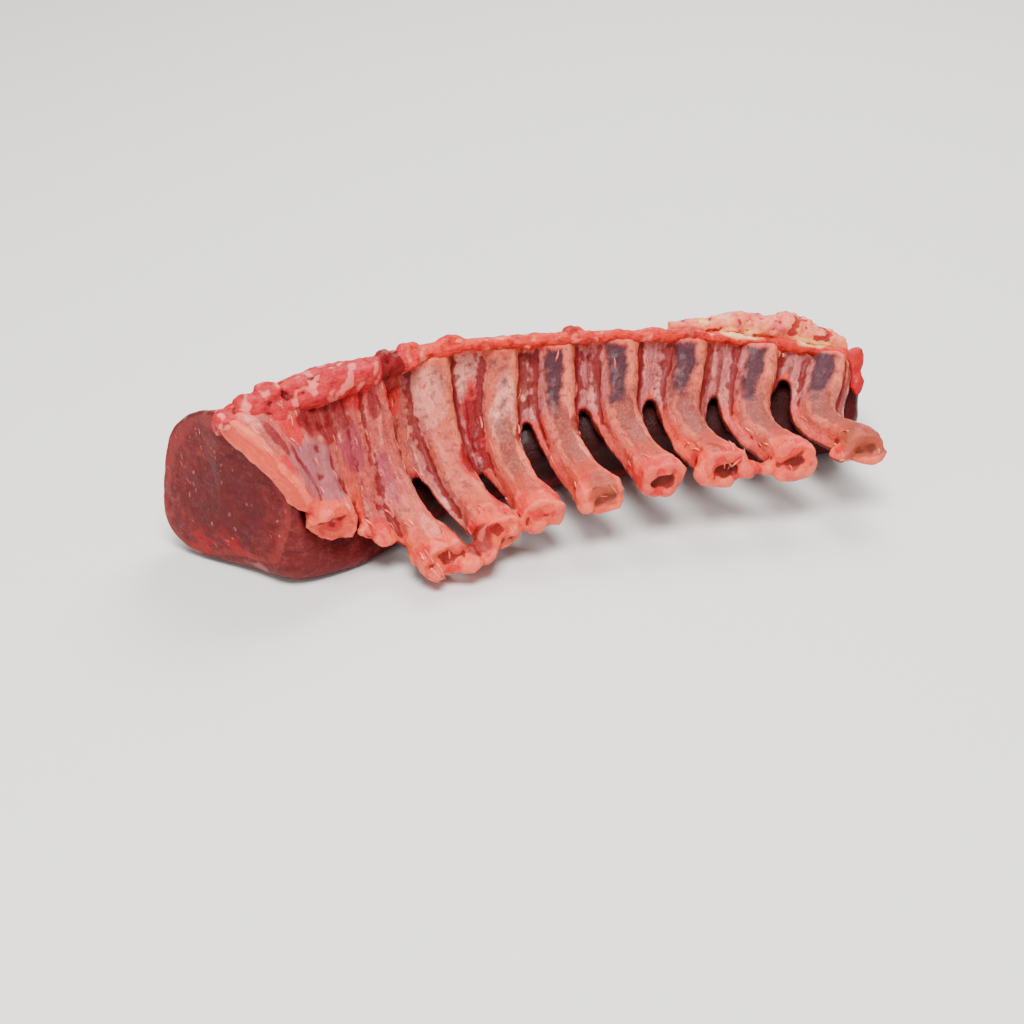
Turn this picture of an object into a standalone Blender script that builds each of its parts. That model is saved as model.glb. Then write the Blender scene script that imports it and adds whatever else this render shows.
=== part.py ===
"""Rack of lamb, trimmed for roasting: nine ribs, the loin under them, the meat between the
ribs, and the trimmed edge along the top. It lies on its loin, with the inner side of the
ribs up and to the front.

Millimetres, +Z up, until a mesh is made in metres. A station is a place along the rack:
station 0 is the short rib at the cut end, and 1 to 8 are the long ribs. Across the rack,
reach runs from 0 at the chine edge to 1 at the tips of the long ribs.
"""

import math

import bmesh
import bpy
import numpy as np
from mathutils import Matrix, Vector

MM = 0.001

# The rack's course: at each station, where the chine edge lies and where a long rib ends.
# The cut through the loin is the first row, and the far end is the last.
COURSE = (
    # station, chine edge x y z, rib tip x y z
    (-1.0, (-98, -17, 53), (-75, -42, 3)),
    (0.0, (-77, -7, 55), (-61, -43, 3)),
    (1.0, (-56, 3, 56), (-43, -41, 6)),
    (2.0, (-35, 11, 54.5), (-24, -38, 9)),
    (3.0, (-10, 14, 52.5), (-10.5, -37, 13)),
    (4.0, (8, 15, 51), (9, -36, 16)),
    (5.0, (29, 16, 49), (30, -36, 20)),
    (6.0, (53, 16, 46), (50, -37, 22.5)),
    (7.0, (77, 15, 41), (69.5, -37, 24)),
    (8.0, (101, 13, 35), (92, -37, 26.5)),
    (8.6, (115, 11, 31), (105, -37, 28)),
)
CUT_END, FAR_END = COURSE[0][0], COURSE[-1][0]
MIDDLE_X, MIDDLE_Y = -0.133, -2.682

# How steeply a rib falls: station, degrees where it leaves the chine, degrees at its tip.
FALL = ((-1, 30, 65), (0, 60, 35), (1, 80, 15), (5, 80, 5), (8.6, 55, -8))
CHINE_HANDLE, TIP_HANDLE = 0.50, 0.36
# Each rib bows back along the rack on its way down: station, how far at its middle and at its
# tip, in stations. The bow is full at BOW_FULL and has gone over to the tip's at the tip.
SWAY = (
    (-1, 0, 0),
    (0, 0.03, 0),
    (1, 0.08, 0),
    (2, 0.04, 0),
    (3, 0.19, 0.02),
    (4, 0.19, 0.05),
    (5, 0.21, 0.13),
    (6, 0.32, 0.16),
    (7, 0.29, 0.03),
    (8, 0.33, 0.0),
    (8.6, 0.33, 0.0),
)
BOW_FULL = 0.5

# Ribs: a flat oval bone that swells to a thick cut end. The first one is cut short.
RIBS = (
    # station, reach at the chine, reach at the tip, swell at the tip
    (-0.12, 0.09, 0.62, 1.40),
    (1.0, 0.09, 1.01, 1.55),
    (2.0, 0.05, 0.98, 1.40),
    (3.0, 0.04, 0.99, 1.30),
    (4.0, 0.04, 1.00, 1.40),
    (5.0, 0.04, 0.99, 1.45),
    (6.0, 0.04, 0.97, 1.50),
    (7.0, 0.04, 1.02, 1.45),
    (8.0, 0.04, 1.04, 1.55),
)
RIB_WIDTH, RIB_DEPTH = 10.5, 7.4
RIB_RAISE = 2.4
BOW_KNOT = 0.44
SWELL_START, SWELL_SHARE = 0.72, 0.735

# The sheet of meat and membrane that joins the ribs, down to where the bones are cleaned.
SHEET_INNER, SHEET_OUTER = 3.6, 4.6
SHEET_END = 8.36
SHEET_START = 0.05
# Where its lower edge lies: station, reach.
SHEET_REACH = ((-1, 0.72), (-0.5, 0.70), (0.1, 0.67), (0.6, 0.70), (1.5, 0.76), (8.36, 0.72))
# Past the loin, the share of the way to its edge and how thick it still is there.
SHEET_EDGE = ((0.5, 1.0), (0.85, 0.85), (1.0, 0.42))

# The gaps cleaned out between the ribs: station, reach at the top, width in mm.
GAPS = (
    (1.47, 0.52, 8.0),
    (2.44, 0.63, 7.0),
    (3.44, 0.37, 9.0),
    (4.42, 0.35, 9.0),
    (5.46, 0.31, 8.5),
    (6.42, 0.31, 8.0),
    (7.46, 0.19, 9.5),
)
GAP_DEPTH = 15.0
# A gap starts narrow, is at its width after the taper, and spreads to its open end.
GAP_TOP, GAP_TAPER, GAP_END, GAP_SPREAD = 0.6, 0.14, 1.1, 1.3
GAP_KNOT, GAP_KNOT_SPREAD = 0.78, 1.15

# The loin: its back bulges past the chine, its front ends under the ribs, and the meat's
# own weight flattens it where it lies. Distances run across the rack from the chine edge.
LOIN = (
    # station, bulge at the back, reach at the front, flat to the back, flat to the front, shoulder
    (-1.0, 30, 0.62, 13, 20, 1.14),
    (-0.4, 30, 0.62, 14, 23, 1.03),
    (0.3, 29, 0.62, 15, 24, 0.95),
    (1.0, 28, 0.62, 15, 23, 0.92),
    (2.0, 27, 0.56, 14, 17, 0.92),
    (4.0, 24, 0.50, 13, 10, 0.92),
    (6.0, 23, 0.46, 12, 8, 0.92),
    (8.0, 21, 0.42, 11, 7, 0.92),
    (8.6, 17, 0.36, 9, 4, 0.92),
)
LOIN_WIDEST = 0.40
FRONT_BULGE = 2.0
FAR_END_ROUNDING = (0.86, 0.86, 0.90)
# The cut through the loin leans out toward the board, starting from this height.
CUT_LEAN, CUT_LEAN_FROM = 5.0, 34.0

# The trimmed edge: a roll of red meat at the cut end that thins to a rim of fat.
EDGE = (
    # station, radius, across from the chine edge, above it
    (-0.75, 4.2, 2.5, -2.5),
    (-0.3, 5.8, 3.5, -3.4),
    (0.3, 6.4, 3.8, -4.0),
    (0.9, 5.4, 3.4, -3.4),
    (1.5, 5.8, 2.8, -3.2),
    (2.1, 4.0, 0.6, -1.4),
    (3.0, 3.6, -0.4, -1.4),
    (4.0, 3.9, -0.6, -1.5),
    (5.0, 3.4, -0.4, -1.3),
    (6.0, 3.8, -0.6, -1.6),
    (7.0, 3.5, -0.4, -1.4),
    (7.8, 3.9, -0.6, -1.7),
    (8.35, 2.6, -0.6, -1.0),
)
# Pale lumps of fat behind the rim, toward the far end, in the same terms.
FAT_LUMPS = (
    (5.75, 2.0, -3.0, 1.5),
    (6.1, 3.6, -3.6, 2.2),
    (6.45, 3.3, -4.0, 2.0),
    (6.8, 4.6, -4.5, 3.0),
    (7.15, 4.2, -4.5, 3.0),
    (7.5, 5.4, -4.5, 4.0),
    (7.8, 4.6, -4.0, 3.4),
    (8.1, 3.8, -3.0, 2.4),
    (8.35, 2.2, -2.5, 1.0),
)
ROLL_STEP = 0.3

# Scraps of meat that hang between tips: first and last station, reach, radius, drop in mm.
SCRAPS = ((1.15, 2.0, 0.98, 4.2, 2.5), (6.1, 7.0, 0.98, 3.6, 3.0))

GAP = 0.3
LOIN_GAP = 0.45
STATION_STEP = 0.5
TWIST_STEP, TWIST_END = 0.25, 1.0
SWEEP_STEPS = 4
NEARBY = 0.001
START_MARGIN, END_MARGIN = 0.02, 0.1
OVER_LOIN_POINTS, CORNER_POINTS, FLAT_POINTS, SHOULDER_POINTS = 6, 4, 5, 6
SCRAP_POINTS, SCRAP_END_SHARE = 6, 0.6

LEAN, MEMBRANE, BONE, RED_MEAT, FAT = (
    ("lean meat", (0.29, 0.062, 0.052), 0.38),
    ("rib membrane", (0.62, 0.25, 0.22), 0.34),
    ("rib bone", (0.66, 0.36, 0.31), 0.36),
    ("trimmed red meat", (0.50, 0.075, 0.06), 0.36),
    ("fat", (0.80, 0.48, 0.42), 0.40),
)


def smooth(rows, at):
    """What the rows say at one station, on a smooth curve through them."""
    knots = np.array([row[0] for row in rows], float)
    values = np.array([row[1:] for row in rows], float)
    slopes = np.gradient(values, knots, axis=0)
    at = min(max(at, knots[0]), knots[-1])
    i = min(max(int(np.searchsorted(knots, at)) - 1, 0), len(knots) - 2)
    step = knots[i + 1] - knots[i]
    t = (at - knots[i]) / step
    return (
        (2 * t**3 - 3 * t**2 + 1) * values[i]
        + (t**3 - 2 * t**2 + t) * step * slopes[i]
        + (3 * t**2 - 2 * t**3) * values[i + 1]
        + (t**3 - t**2) * step * slopes[i + 1]
    )


def course_at(station):
    """The chine edge, the tip, and the level direction from one to the other."""
    chine, tip = smooth(COURSE, station)
    across = (tip - chine) * (1, 1, 0)
    return chine, tip, across / np.linalg.norm(across)


def rib_handles(station):
    """The four points of the curve that a rib follows at this station."""
    chine, tip, across = course_at(station)
    length = np.linalg.norm(tip - chine)
    fall, end_fall = np.radians(smooth(FALL, station))
    down = np.array([0, 0, -1.0])
    leave = across * math.cos(fall) + down * math.sin(fall)
    arrive = across * math.cos(end_fall) + down * math.sin(end_fall)
    return [chine, chine + CHINE_HANDLE * length * leave, tip - TIP_HANDLE * length * arrive, tip]


def rib_point(station, reach):
    """A point of the rib surface, and the direction square to it on the inner side."""
    a, b, c, d = rib_handles(station)
    t = reach
    point = (1 - t) ** 3 * a + 3 * (1 - t) ** 2 * t * b + 3 * (1 - t) * t * t * c + t**3 * d
    along = (1 - t) ** 2 * (b - a) + 2 * (1 - t) * t * (c - b) + t * t * (d - c)
    along /= np.linalg.norm(along)
    across = course_at(station)[2]
    level, rise = along @ across, along[2]
    return point, -rise * across + np.array([0, 0, level])


def ease(share):
    """0 at or below 0, 1 at or above 1, and smooth between."""
    share = min(max(share, 0), 1)
    return share * share * (3 - 2 * share)


def bowed_point(station, reach):
    """A point of the rib surface on the line that a bone or a gap follows as it bows."""
    middle, tip = smooth(SWAY, station)
    down = ease((reach - BOW_FULL) / (1 - BOW_FULL))
    return rib_point(station - middle * ease(reach / BOW_FULL) * (1 - down) - tip * down, reach)


def bow(start, corner, end, count):
    """Points that turn from start to end, rounding the corner; the first point is left out."""
    steps = np.linspace(0, 1, count + 1)[1:, None]
    return list((1 - steps) ** 2 * start + 2 * (1 - steps) * steps * corner + steps**2 * end)


def stations_between(first, last, step):
    return list(np.linspace(first, last, round((last - first) / step) + 1))


def section_stations():
    """Where the loin and the sheet both have sections, closer together where they twist."""
    twisting = stations_between(CUT_END, TWIST_END, TWIST_STEP)
    return twisting[:-1] + stations_between(TWIST_END, SHEET_END, STATION_STEP)


def reaches_over_loin(station):
    """Where the loin and the sheet that lies on it both have their points."""
    return np.linspace(SHEET_START, smooth(LOIN, station)[1], OVER_LOIN_POINTS)


def loft(name, rings, colour):
    """A closed solid through rings of equal point counts, with a flat cap at each end."""
    mesh = bmesh.new()
    made = [[mesh.verts.new(Vector(point) * MM) for point in ring] for ring in rings]
    for ring, following in zip(made, made[1:]):
        for i in range(len(ring)):
            j = (i + 1) % len(ring)
            mesh.faces.new((ring[i], ring[j], following[j], following[i]))
    mesh.faces.new(made[0])
    mesh.faces.new(made[-1])
    bmesh.ops.recalc_face_normals(mesh, faces=mesh.faces)
    data = bpy.data.meshes.new(name)
    mesh.to_mesh(data)
    mesh.free()
    return add(name, data, colour)


def add(name, data, colour, collection="rack_of_lamb"):
    """Links an object for this mesh or curve, with its own material."""
    if collection not in bpy.data.collections:
        bpy.context.scene.collection.children.link(bpy.data.collections.new(collection))
    thing = bpy.data.objects.new(name, data)
    bpy.data.collections[collection].objects.link(thing)
    title, rgb, roughness = colour
    material = bpy.data.materials.new(f"{name} {title}")
    material.use_nodes = True
    shader = material.node_tree.nodes["Principled BSDF"]
    shader.inputs["Base Color"].default_value = (*rgb, 1)
    shader.inputs["Roughness"].default_value = roughness
    data.materials.append(material)
    return thing


def made_mesh(thing):
    """Turns a curve object into a mesh object with welded caps, and removes the curve."""
    bpy.context.view_layer.update()
    graph = bpy.context.evaluated_depsgraph_get()
    data = bpy.data.meshes.new_from_object(thing.evaluated_get(graph))
    mesh = bmesh.new()
    mesh.from_mesh(data)
    bmesh.ops.remove_doubles(mesh, verts=mesh.verts, dist=0.01 * MM)
    bmesh.ops.recalc_face_normals(mesh, faces=mesh.faces)
    mesh.to_mesh(data)
    mesh.free()
    name, home, place = thing.name, thing.users_collection[0], thing.matrix_world.copy()
    old = thing.data
    bpy.data.objects.remove(thing)
    bpy.data.curves.remove(old)
    made = bpy.data.objects.new(name, data)
    made.matrix_world = place
    home.objects.link(made)
    return made


def oval_profile(name, width, depth):
    """A hidden closed oval of eight points, for a curve to be swept with."""
    data = bpy.data.curves.new(name, "CURVE")
    line = data.splines.new("POLY")
    line.points.add(9)
    for i, point in enumerate(line.points):
        turn = math.tau * (i + 0.5) / len(line.points)
        point.co = (math.cos(turn) * depth / 2 * MM, math.sin(turn) * width / 2 * MM, 0, 1)
    line.use_cyclic_u = True
    guide = add(name, data, BONE, "guides")
    guide.hide_render = True
    guide.display_type = "WIRE"
    return guide


def swept_oval(name, station, knots, width, depth, lift, colour, collection):
    """An oval swept down one rib or gap, through (reach, swell) knots."""
    data = bpy.data.curves.new(name, "CURVE")
    data.dimensions = "3D"
    data.twist_mode = "Z_UP"
    data.resolution_u = SWEEP_STEPS
    data.bevel_mode = "OBJECT"
    data.bevel_object = oval_profile(f"{name}_profile", width, depth)
    data.use_fill_caps = True
    line = data.splines.new("BEZIER")
    line.bezier_points.add(len(knots) - 1)
    before = [knots[0], *knots[:-1]]
    after = [*knots[1:], knots[-1]]
    for knot, (last, _), (reach, swell), (following, _) in zip(
        line.bezier_points, before, knots, after
    ):
        point, inward = bowed_point(station, reach)
        point = point + inward * lift
        beyond, short = (bowed_point(station, reach + side)[0] for side in (NEARBY, -NEARBY))
        slope = (beyond - short) / (2 * NEARBY)
        knot.handle_left_type = knot.handle_right_type = "FREE"
        knot.co = Vector(point) * MM
        knot.handle_left = Vector(point - slope * (reach - last) / 3) * MM
        knot.handle_right = Vector(point + slope * (following - reach) / 3) * MM
        knot.radius = swell
    return made_mesh(add(name, data, colour, collection))


def make_rib(number, grow, collection, suffix=""):
    """One rib, or with some growth, the cutter that keeps its neighbours clear of it."""
    station, start, end, swell = RIBS[number]
    middle = min(SWELL_START, SWELL_SHARE * end)
    knots = [(start, 1.0), (middle, 1.0), (end, swell)]
    if end > 1 - SWELL_START + middle * 0.5:
        knots.insert(1, (BOW_KNOT, 1.0))
    if grow:
        knots = [(start - START_MARGIN, 1.0), *knots, (end + END_MARGIN, swell)]
    name = f"rib_{number + 1}{suffix}"
    sizes = (RIB_WIDTH + 2 * grow, RIB_DEPTH + 2 * grow)
    return swept_oval(name, station, knots, *sizes, RIB_RAISE, BONE, collection)


def roll(name, rows, grow, colour, collection):
    """A lumpy roll of meat or fat along the chine edge."""
    data = bpy.data.curves.new(name, "CURVE")
    data.dimensions = "3D"
    data.twist_mode = "Z_UP"
    data.bevel_depth = MM
    data.bevel_resolution = 2
    data.use_fill_caps = True
    centres, sizes = [], []
    for place in stations_between(rows[0][0], rows[-1][0], ROLL_STEP):
        chine, _, level = course_at(place)
        radius, across, above = smooth(rows, place)
        centres.append(chine + level * across + (0, 0, above))
        sizes.append(radius + grow)
    if grow:
        before = centres[0] + END_MARGIN * (centres[0] - centres[1])
        after = centres[-1] + END_MARGIN * (centres[-1] - centres[-2])
        centres = [before, *centres, after]
        sizes = [sizes[0], *sizes, sizes[-1]]
    line = data.splines.new("POLY")
    line.points.add(len(centres) - 1)
    for point, centre, size in zip(line.points, centres, sizes):
        point.co = (*(centre * MM), 1)
        point.radius = size
    return made_mesh(add(name, data, colour, collection))


def cutter(thing):
    thing.hide_render = True
    thing.display_type = "WIRE"
    return thing


def cut(thing, cutters, solver="EXACT"):
    """Takes the cutters away from the thing, one Boolean at a time."""
    for other in cutters:
        step = thing.modifiers.new(f"clear of {other.name}", "BOOLEAN")
        step.operation = "DIFFERENCE"
        step.solver = solver
        step.object = other


def make_loin():
    """The eye of the loin, through sections across the rack."""
    rings = []
    for station in [*section_stations(), FAR_END]:
        chine, _, level = course_at(station)

        def placed(across, height):
            return np.array([*(chine + level * across)[:2], height])

        back, _, flat_back, flat_front, shoulder = smooth(LOIN, station)
        ring = []
        for reach in reaches_over_loin(station):
            point, inward = rib_point(station, reach)
            ring.append(point - inward * (SHEET_OUTER + LOIN_GAP))
        top = ring[0]
        front = ring[-1]
        under = placed((front - chine) @ level + FRONT_BULGE, 0)
        ring += bow(front, under, placed(flat_front, 0), CORNER_POINTS)
        ring += [placed(x, 0) for x in np.linspace(flat_front, -flat_back, FLAT_POINTS)[1:]]
        widest = placed(-back, LOIN_WIDEST * top[2])
        ring += bow(ring[-1], placed(-back, 0), widest, CORNER_POINTS)
        ring += bow(widest, placed(-back, shoulder * top[2]), top, SHOULDER_POINTS)[:-1]
        rings.append(ring)
    outward = rings[0][0] - rings[1][0]
    outward = outward * (1, 1, 0) / np.linalg.norm(outward[:2])
    rings[0] = [
        point + outward * CUT_LEAN * ease(1 - point[2] / CUT_LEAN_FROM) for point in rings[0]
    ]
    middle = np.mean(rings[-1], axis=0)
    rings[-1] = [middle + (point - middle) * FAR_END_ROUNDING for point in rings[-1]]
    return loft("loin_eye", rings, LEAN)


def make_sheet():
    """The meat and membrane between the ribs, thinning to a rounded edge."""
    rings = []
    for station in section_stations():
        end = smooth(SHEET_REACH, station)[0]
        reaches = reaches_over_loin(station)
        rows = [(reach, 1) for reach in reaches]
        rows += [(reaches[-1] + (end - reaches[-1]) * share, thin) for share, thin in SHEET_EDGE]
        inner, outer = [], []
        for reach, thin in rows:
            point, inward = rib_point(station, reach)
            inner.append(point + inward * SHEET_INNER * thin)
            outer.append(point - inward * SHEET_OUTER * thin)
        rings.append(inner + outer[::-1])
    return loft("rib_sheet", rings, MEMBRANE)


def make_scrap(number, grow, collection, suffix=""):
    """A scrap of meat hanging from one rib tip to the next."""
    first, last, reach, radius, drop = SCRAPS[number]
    data = bpy.data.curves.new("scrap", "CURVE")
    data.dimensions = "3D"
    data.bevel_depth = MM
    data.bevel_resolution = 2
    data.use_fill_caps = True
    line = data.splines.new("POLY")
    line.points.add(SCRAP_POINTS - 1)
    for point, share in zip(line.points, np.linspace(0, 1, SCRAP_POINTS)):
        centre, inward = bowed_point(first + (last - first) * share, reach)
        centre = centre - inward * drop
        point.co = (*(centre * MM), 1)
        fullness = SCRAP_END_SHARE + (1 - SCRAP_END_SHARE) * math.sin(math.pi * share)
        point.radius = radius * fullness + grow
    return made_mesh(add(f"tip_scrap_{number + 1}{suffix}", data, RED_MEAT, collection))


def make_part():
    """Every piece, with what it presses on cut clear of it."""
    home, hidden = "rack_of_lamb", "cutters"
    loin = make_loin()
    sheet = make_sheet()
    strip = roll("chine_strip", EDGE, 0, RED_MEAT, home)
    strip_clear = cutter(roll("chine_strip_cutter", EDGE, GAP, RED_MEAT, hidden))
    lumps = roll("chine_fat", FAT_LUMPS, 0, FAT, home)
    fat_clear = cutter(roll("chine_fat_cutter", FAT_LUMPS, GAP, FAT, hidden))
    ribs = [make_rib(number, 0, home) for number in range(len(RIBS))]
    rib_clear = [cutter(make_rib(number, GAP, hidden, "_cutter")) for number in range(len(RIBS))]
    scraps = [make_scrap(number, 0, home) for number in range(len(SCRAPS))]
    slots = []
    for number, (station, top, width) in enumerate(GAPS, 1):
        knots = (
            (top, GAP_TOP),
            (top + GAP_TAPER, 1.0),
            (GAP_KNOT, GAP_KNOT_SPREAD),
            (GAP_END, GAP_SPREAD),
        )
        sizes = (width, GAP_DEPTH)
        slots.append(cutter(swept_oval(f"gap_{number}", station, knots, *sizes, 0, BONE, hidden)))
    # The feather edges beside the bones need the solver that keeps every cut closed.
    cut(sheet, [*slots, *rib_clear, strip_clear], "MANIFOLD")
    cut(loin, [strip_clear, fat_clear, *rib_clear[:3]])
    cut(strip, [fat_clear])
    for rib in ribs:
        cut(rib, [strip_clear])
    for scrap in scraps:
        cut(scrap, rib_clear)
    return [loin, sheet, strip, lumps, *ribs, *scraps]


def main():
    for thing in list(bpy.data.objects):
        bpy.data.objects.remove(thing)
    parts = make_part()
    to_middle = Matrix.Translation((-MIDDLE_X * MM, -MIDDLE_Y * MM, 0))
    for thing in bpy.data.objects:
        thing.data.transform(to_middle)
    print(f"{len(parts)} solids")


main()
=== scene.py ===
# %% [markdown]
# # A raw rack of lamb
# A rack is one side of a lamb's rib cage, sold in one piece: the long round muscle of the
# back, called the eye of the loin, with the rib bones curving out over it and a thin wall
# of meat and membrane between the bones. This lesson dresses a plain model of one. The
# plain solids are loaded first and never changed. Each visible surface is then built over
# them, finer and softer, and says which solid it stands for.

import math

import bmesh
import bpy
import numpy as np
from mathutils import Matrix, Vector, kdtree, noise


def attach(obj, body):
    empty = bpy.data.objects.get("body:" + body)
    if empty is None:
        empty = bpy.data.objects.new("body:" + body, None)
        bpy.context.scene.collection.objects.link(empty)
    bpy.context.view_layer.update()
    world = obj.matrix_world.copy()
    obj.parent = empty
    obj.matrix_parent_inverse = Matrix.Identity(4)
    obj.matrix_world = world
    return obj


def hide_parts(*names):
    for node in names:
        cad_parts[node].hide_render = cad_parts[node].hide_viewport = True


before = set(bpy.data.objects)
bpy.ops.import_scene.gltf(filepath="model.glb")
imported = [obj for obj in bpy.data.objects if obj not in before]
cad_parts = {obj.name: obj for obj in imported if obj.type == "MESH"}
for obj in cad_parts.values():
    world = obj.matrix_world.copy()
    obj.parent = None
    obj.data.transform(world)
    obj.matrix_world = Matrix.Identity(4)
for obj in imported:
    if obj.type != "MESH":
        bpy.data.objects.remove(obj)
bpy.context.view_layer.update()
MM = 0.001
print("solids:", ", ".join(sorted(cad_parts)))

# %% [markdown]
# ## Where everything lies
# The rack bends and twists along its length, so plain x, y and z are a poor way to say
# "the top of the third rib". Two other numbers do it well. The station says how far along
# the rack a place is, with a rib at each whole number. The reach runs down a rib, from 0
# at the trimmed edge of the backbone to 1 at the rib's tip. The table gives both ends of
# the rib wall at each station, and smooth curves join them.

# %% The course of the rack
COURSE = (
    # station, chine edge x y z, rib tip x y z
    (-1.0, -98, -17, 53, -75, -42, 3),
    (0.0, -77, -7, 55, -61, -43, 3),
    (1.0, -56, 3, 56, -43, -41, 6),
    (2.0, -35, 11, 54.5, -24, -38, 9),
    (3.0, -10, 14, 52.5, -10.5, -37, 13),
    (4.0, 8, 15, 51, 9, -36, 16),
    (5.0, 29, 16, 49, 30, -36, 19),
    (6.0, 53, 16, 46, 50, -37, 19.5),
    (7.0, 77, 15, 41, 69.5, -37, 20.5),
    (8.0, 101, 13, 35, 92, -37, 22),
    (8.6, 115, 11, 31, 105, -37, 23),
)
# station, degrees that a rib falls at the chine, and at its tip
FALL = ((-1, 30, 65), (0, 60, 35), (1, 80, 15), (5, 80, 5), (8.6, 55, -8))
# How far each end of a rib's curve runs straight, as a share of its length
CHINE_HANDLE, TIP_HANDLE = 0.50, 0.36
TO_MIDDLE = np.array([0.133, 2.682, 0.0])  # from the table's origin to the frame's, in mm
UP = np.array([0, 0, 1.0])
CUT_END, FAR_END = COURSE[0][0], COURSE[-1][0]


def smooth(rows, at):
    """What the rows say at each place in at, on a smooth curve through them."""
    rows, at = np.array(rows, float), np.asarray(at, float)
    knots, values = rows[:, 0], rows[:, 1:]
    slopes = np.gradient(values, knots, axis=0)
    i = np.clip(np.searchsorted(knots, at) - 1, 0, len(knots) - 2)
    step = (knots[i + 1] - knots[i])[..., None]
    t = (at[..., None] - knots[i][..., None]) / step
    return (
        (2 * t**3 - 3 * t**2 + 1) * values[i]
        + (t**3 - 2 * t**2 + t) * step * slopes[i]
        + (3 * t**2 - 2 * t**3) * values[i + 1]
        + (t**3 - t**2) * step * slopes[i + 1]
    )


def steps(low, high, values):
    """0 below low, 1 above high and smooth between, and the other way round if low > high."""
    t = np.clip((values - low) / (high - low), 0, 1)
    return t * t * (3 - 2 * t)


def unit(vectors):
    return vectors / np.linalg.norm(vectors, axis=-1, keepdims=True)


def ends_at(station):
    """Chine edge, rib tip, and the level direction from one to the other."""
    both = smooth(COURSE, station)
    chine, tip = both[..., :3] + TO_MIDDLE, both[..., 3:] + TO_MIDDLE
    return chine, tip, unit((tip - chine) * (1, 1, 0))


def course(station, reach):
    """Points on the middle of the rib wall, and the inward direction square to it."""
    chine, tip, across = ends_at(station)
    length = np.linalg.norm(tip - chine, axis=-1, keepdims=True)
    fall = np.radians(smooth(FALL, station))
    start, end = fall[..., :1], fall[..., 1:]
    b = chine + CHINE_HANDLE * length * (across * np.cos(start) - UP * np.sin(start))
    c = tip - TIP_HANDLE * length * (across * np.cos(end) - UP * np.sin(end))
    t = np.asarray(reach, float)[..., None]
    point = (1 - t) ** 3 * chine + 3 * (1 - t) ** 2 * t * b + 3 * (1 - t) * t * t * c + t**3 * tip
    along = unit((1 - t) ** 2 * (b - chine) + 2 * (1 - t) * t * (c - b) + t * t * (tip - c))
    level = (along * across).sum(-1, keepdims=True)
    return point, -along[..., 2:] * across + UP * level


# station, how far a rib bows back along the rack at its middle, and at its tip, in stations
SWAY = ((-1, 0, 0), (0, 0.03, 0), (1, 0.08, 0), (2, 0.04, 0), (3, 0.19, 0.02), (4, 0.19, 0.05),
        (5, 0.21, 0.13), (6, 0.32, 0.16), (7, 0.29, 0.03), (8, 0.33, 0.0), (8.6, 0.33, 0.0))
MIDDLE_RIB = 4.0


def wall(station, reach):
    """The same as course, where the station follows the ribs as they bow along the rack."""
    station, reach = np.asarray(station, float), np.asarray(reach, float)
    middle, tip = np.moveaxis(smooth(SWAY, station), -1, 0)
    down = steps(0.55, 1.0, reach)
    return course(station - middle * steps(0.0, 0.5, reach) * (1 - down) - tip * down, reach)


middle_rib = wall(np.full(50, MIDDLE_RIB), np.linspace(0, 1, 50))[0]
rib_length = np.linalg.norm(np.diff(middle_rib, axis=0), axis=1).sum()
print(f"a rib in the middle is {rib_length:.0f} mm long")

# %% [markdown]
# ## Finding the station and reach of any point
# Colours and bumps have to know whether they sit on a bone, between two bones or at a cut
# edge. So the way back is needed too: from a point in space to its station, its reach and
# its height above the middle of the wall. A search tree finds the nearest point of a
# coarse grid, and a few steps of Newton's method make that exact.

# %% From points back to places
GRID_STATIONS, GRID_REACHES = np.arange(-1.4, 9.01, 0.1), np.arange(-0.15, 1.21, 0.02)
NEWTON_ROUNDS, NEWTON_SHARE, NUDGE = 4, 0.8, 0.01
grid = np.stack(np.meshgrid(GRID_STATIONS, GRID_REACHES, indexing="ij"), -1).reshape(-1, 2)
grid_points = wall(grid[:, 0], grid[:, 1])[0]
grid_finder = kdtree.KDTree(len(grid))
for number, point in enumerate(grid_points):
    grid_finder.insert(point, number)
grid_finder.balance()


def places(points):
    """Station, reach and inward height in mm of each point."""
    nearest = np.array([grid_finder.find(point)[1] for point in points])
    station, reach = grid[nearest, 0], grid[nearest, 1]
    for _ in range(NEWTON_ROUNDS):
        here = wall(station, reach)[0]
        along_rack = (wall(station + NUDGE, reach)[0] - here) / NUDGE
        along_rib = (wall(station, reach + NUDGE)[0] - here) / NUDGE
        left = points - here
        a, b, c = [(u * v).sum(-1) for u, v in (
            (along_rack, along_rack), (along_rack, along_rib), (along_rib, along_rib))]
        p, q = (along_rack * left).sum(-1), (along_rib * left).sum(-1)
        scale = a * c - b * b
        station = np.clip(station + NEWTON_SHARE * (c * p - b * q) / scale, -1.4, 9.0)
        reach = np.clip(reach + NEWTON_SHARE * (a * q - b * p) / scale, -0.15, 1.2)
    here, inward = wall(station, reach)
    return station, reach, ((points - here) * inward).sum(-1)


def lumps(points, size, seed, octaves=2):
    """Smooth noise between about -1 and 1, with hills about size mm apart."""
    moved = points / size + seed * 7.31
    return np.array([noise.fractal(p, 0.9, 2.1, octaves) for p in moved.tolist()])


station, reach, height = places(grid_points[::97])
error = abs(station - grid[::97, 0]).max()
print(f"{len(grid)} grid places, found again within {error:.4f} stations")

# %% [markdown]
# ## Small tools
# A few helpers serve the whole lesson. They put a mesh in the scene, join shapes under one
# fine even skin, read and move its points, and store a number at each point for the
# materials to read.

# %% Tools for meshes
def linked(name, data):
    """A new object in the scene that shows the given data."""
    thing = bpy.data.objects.new(name, data)
    bpy.context.scene.collection.objects.link(thing)
    return thing


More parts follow.
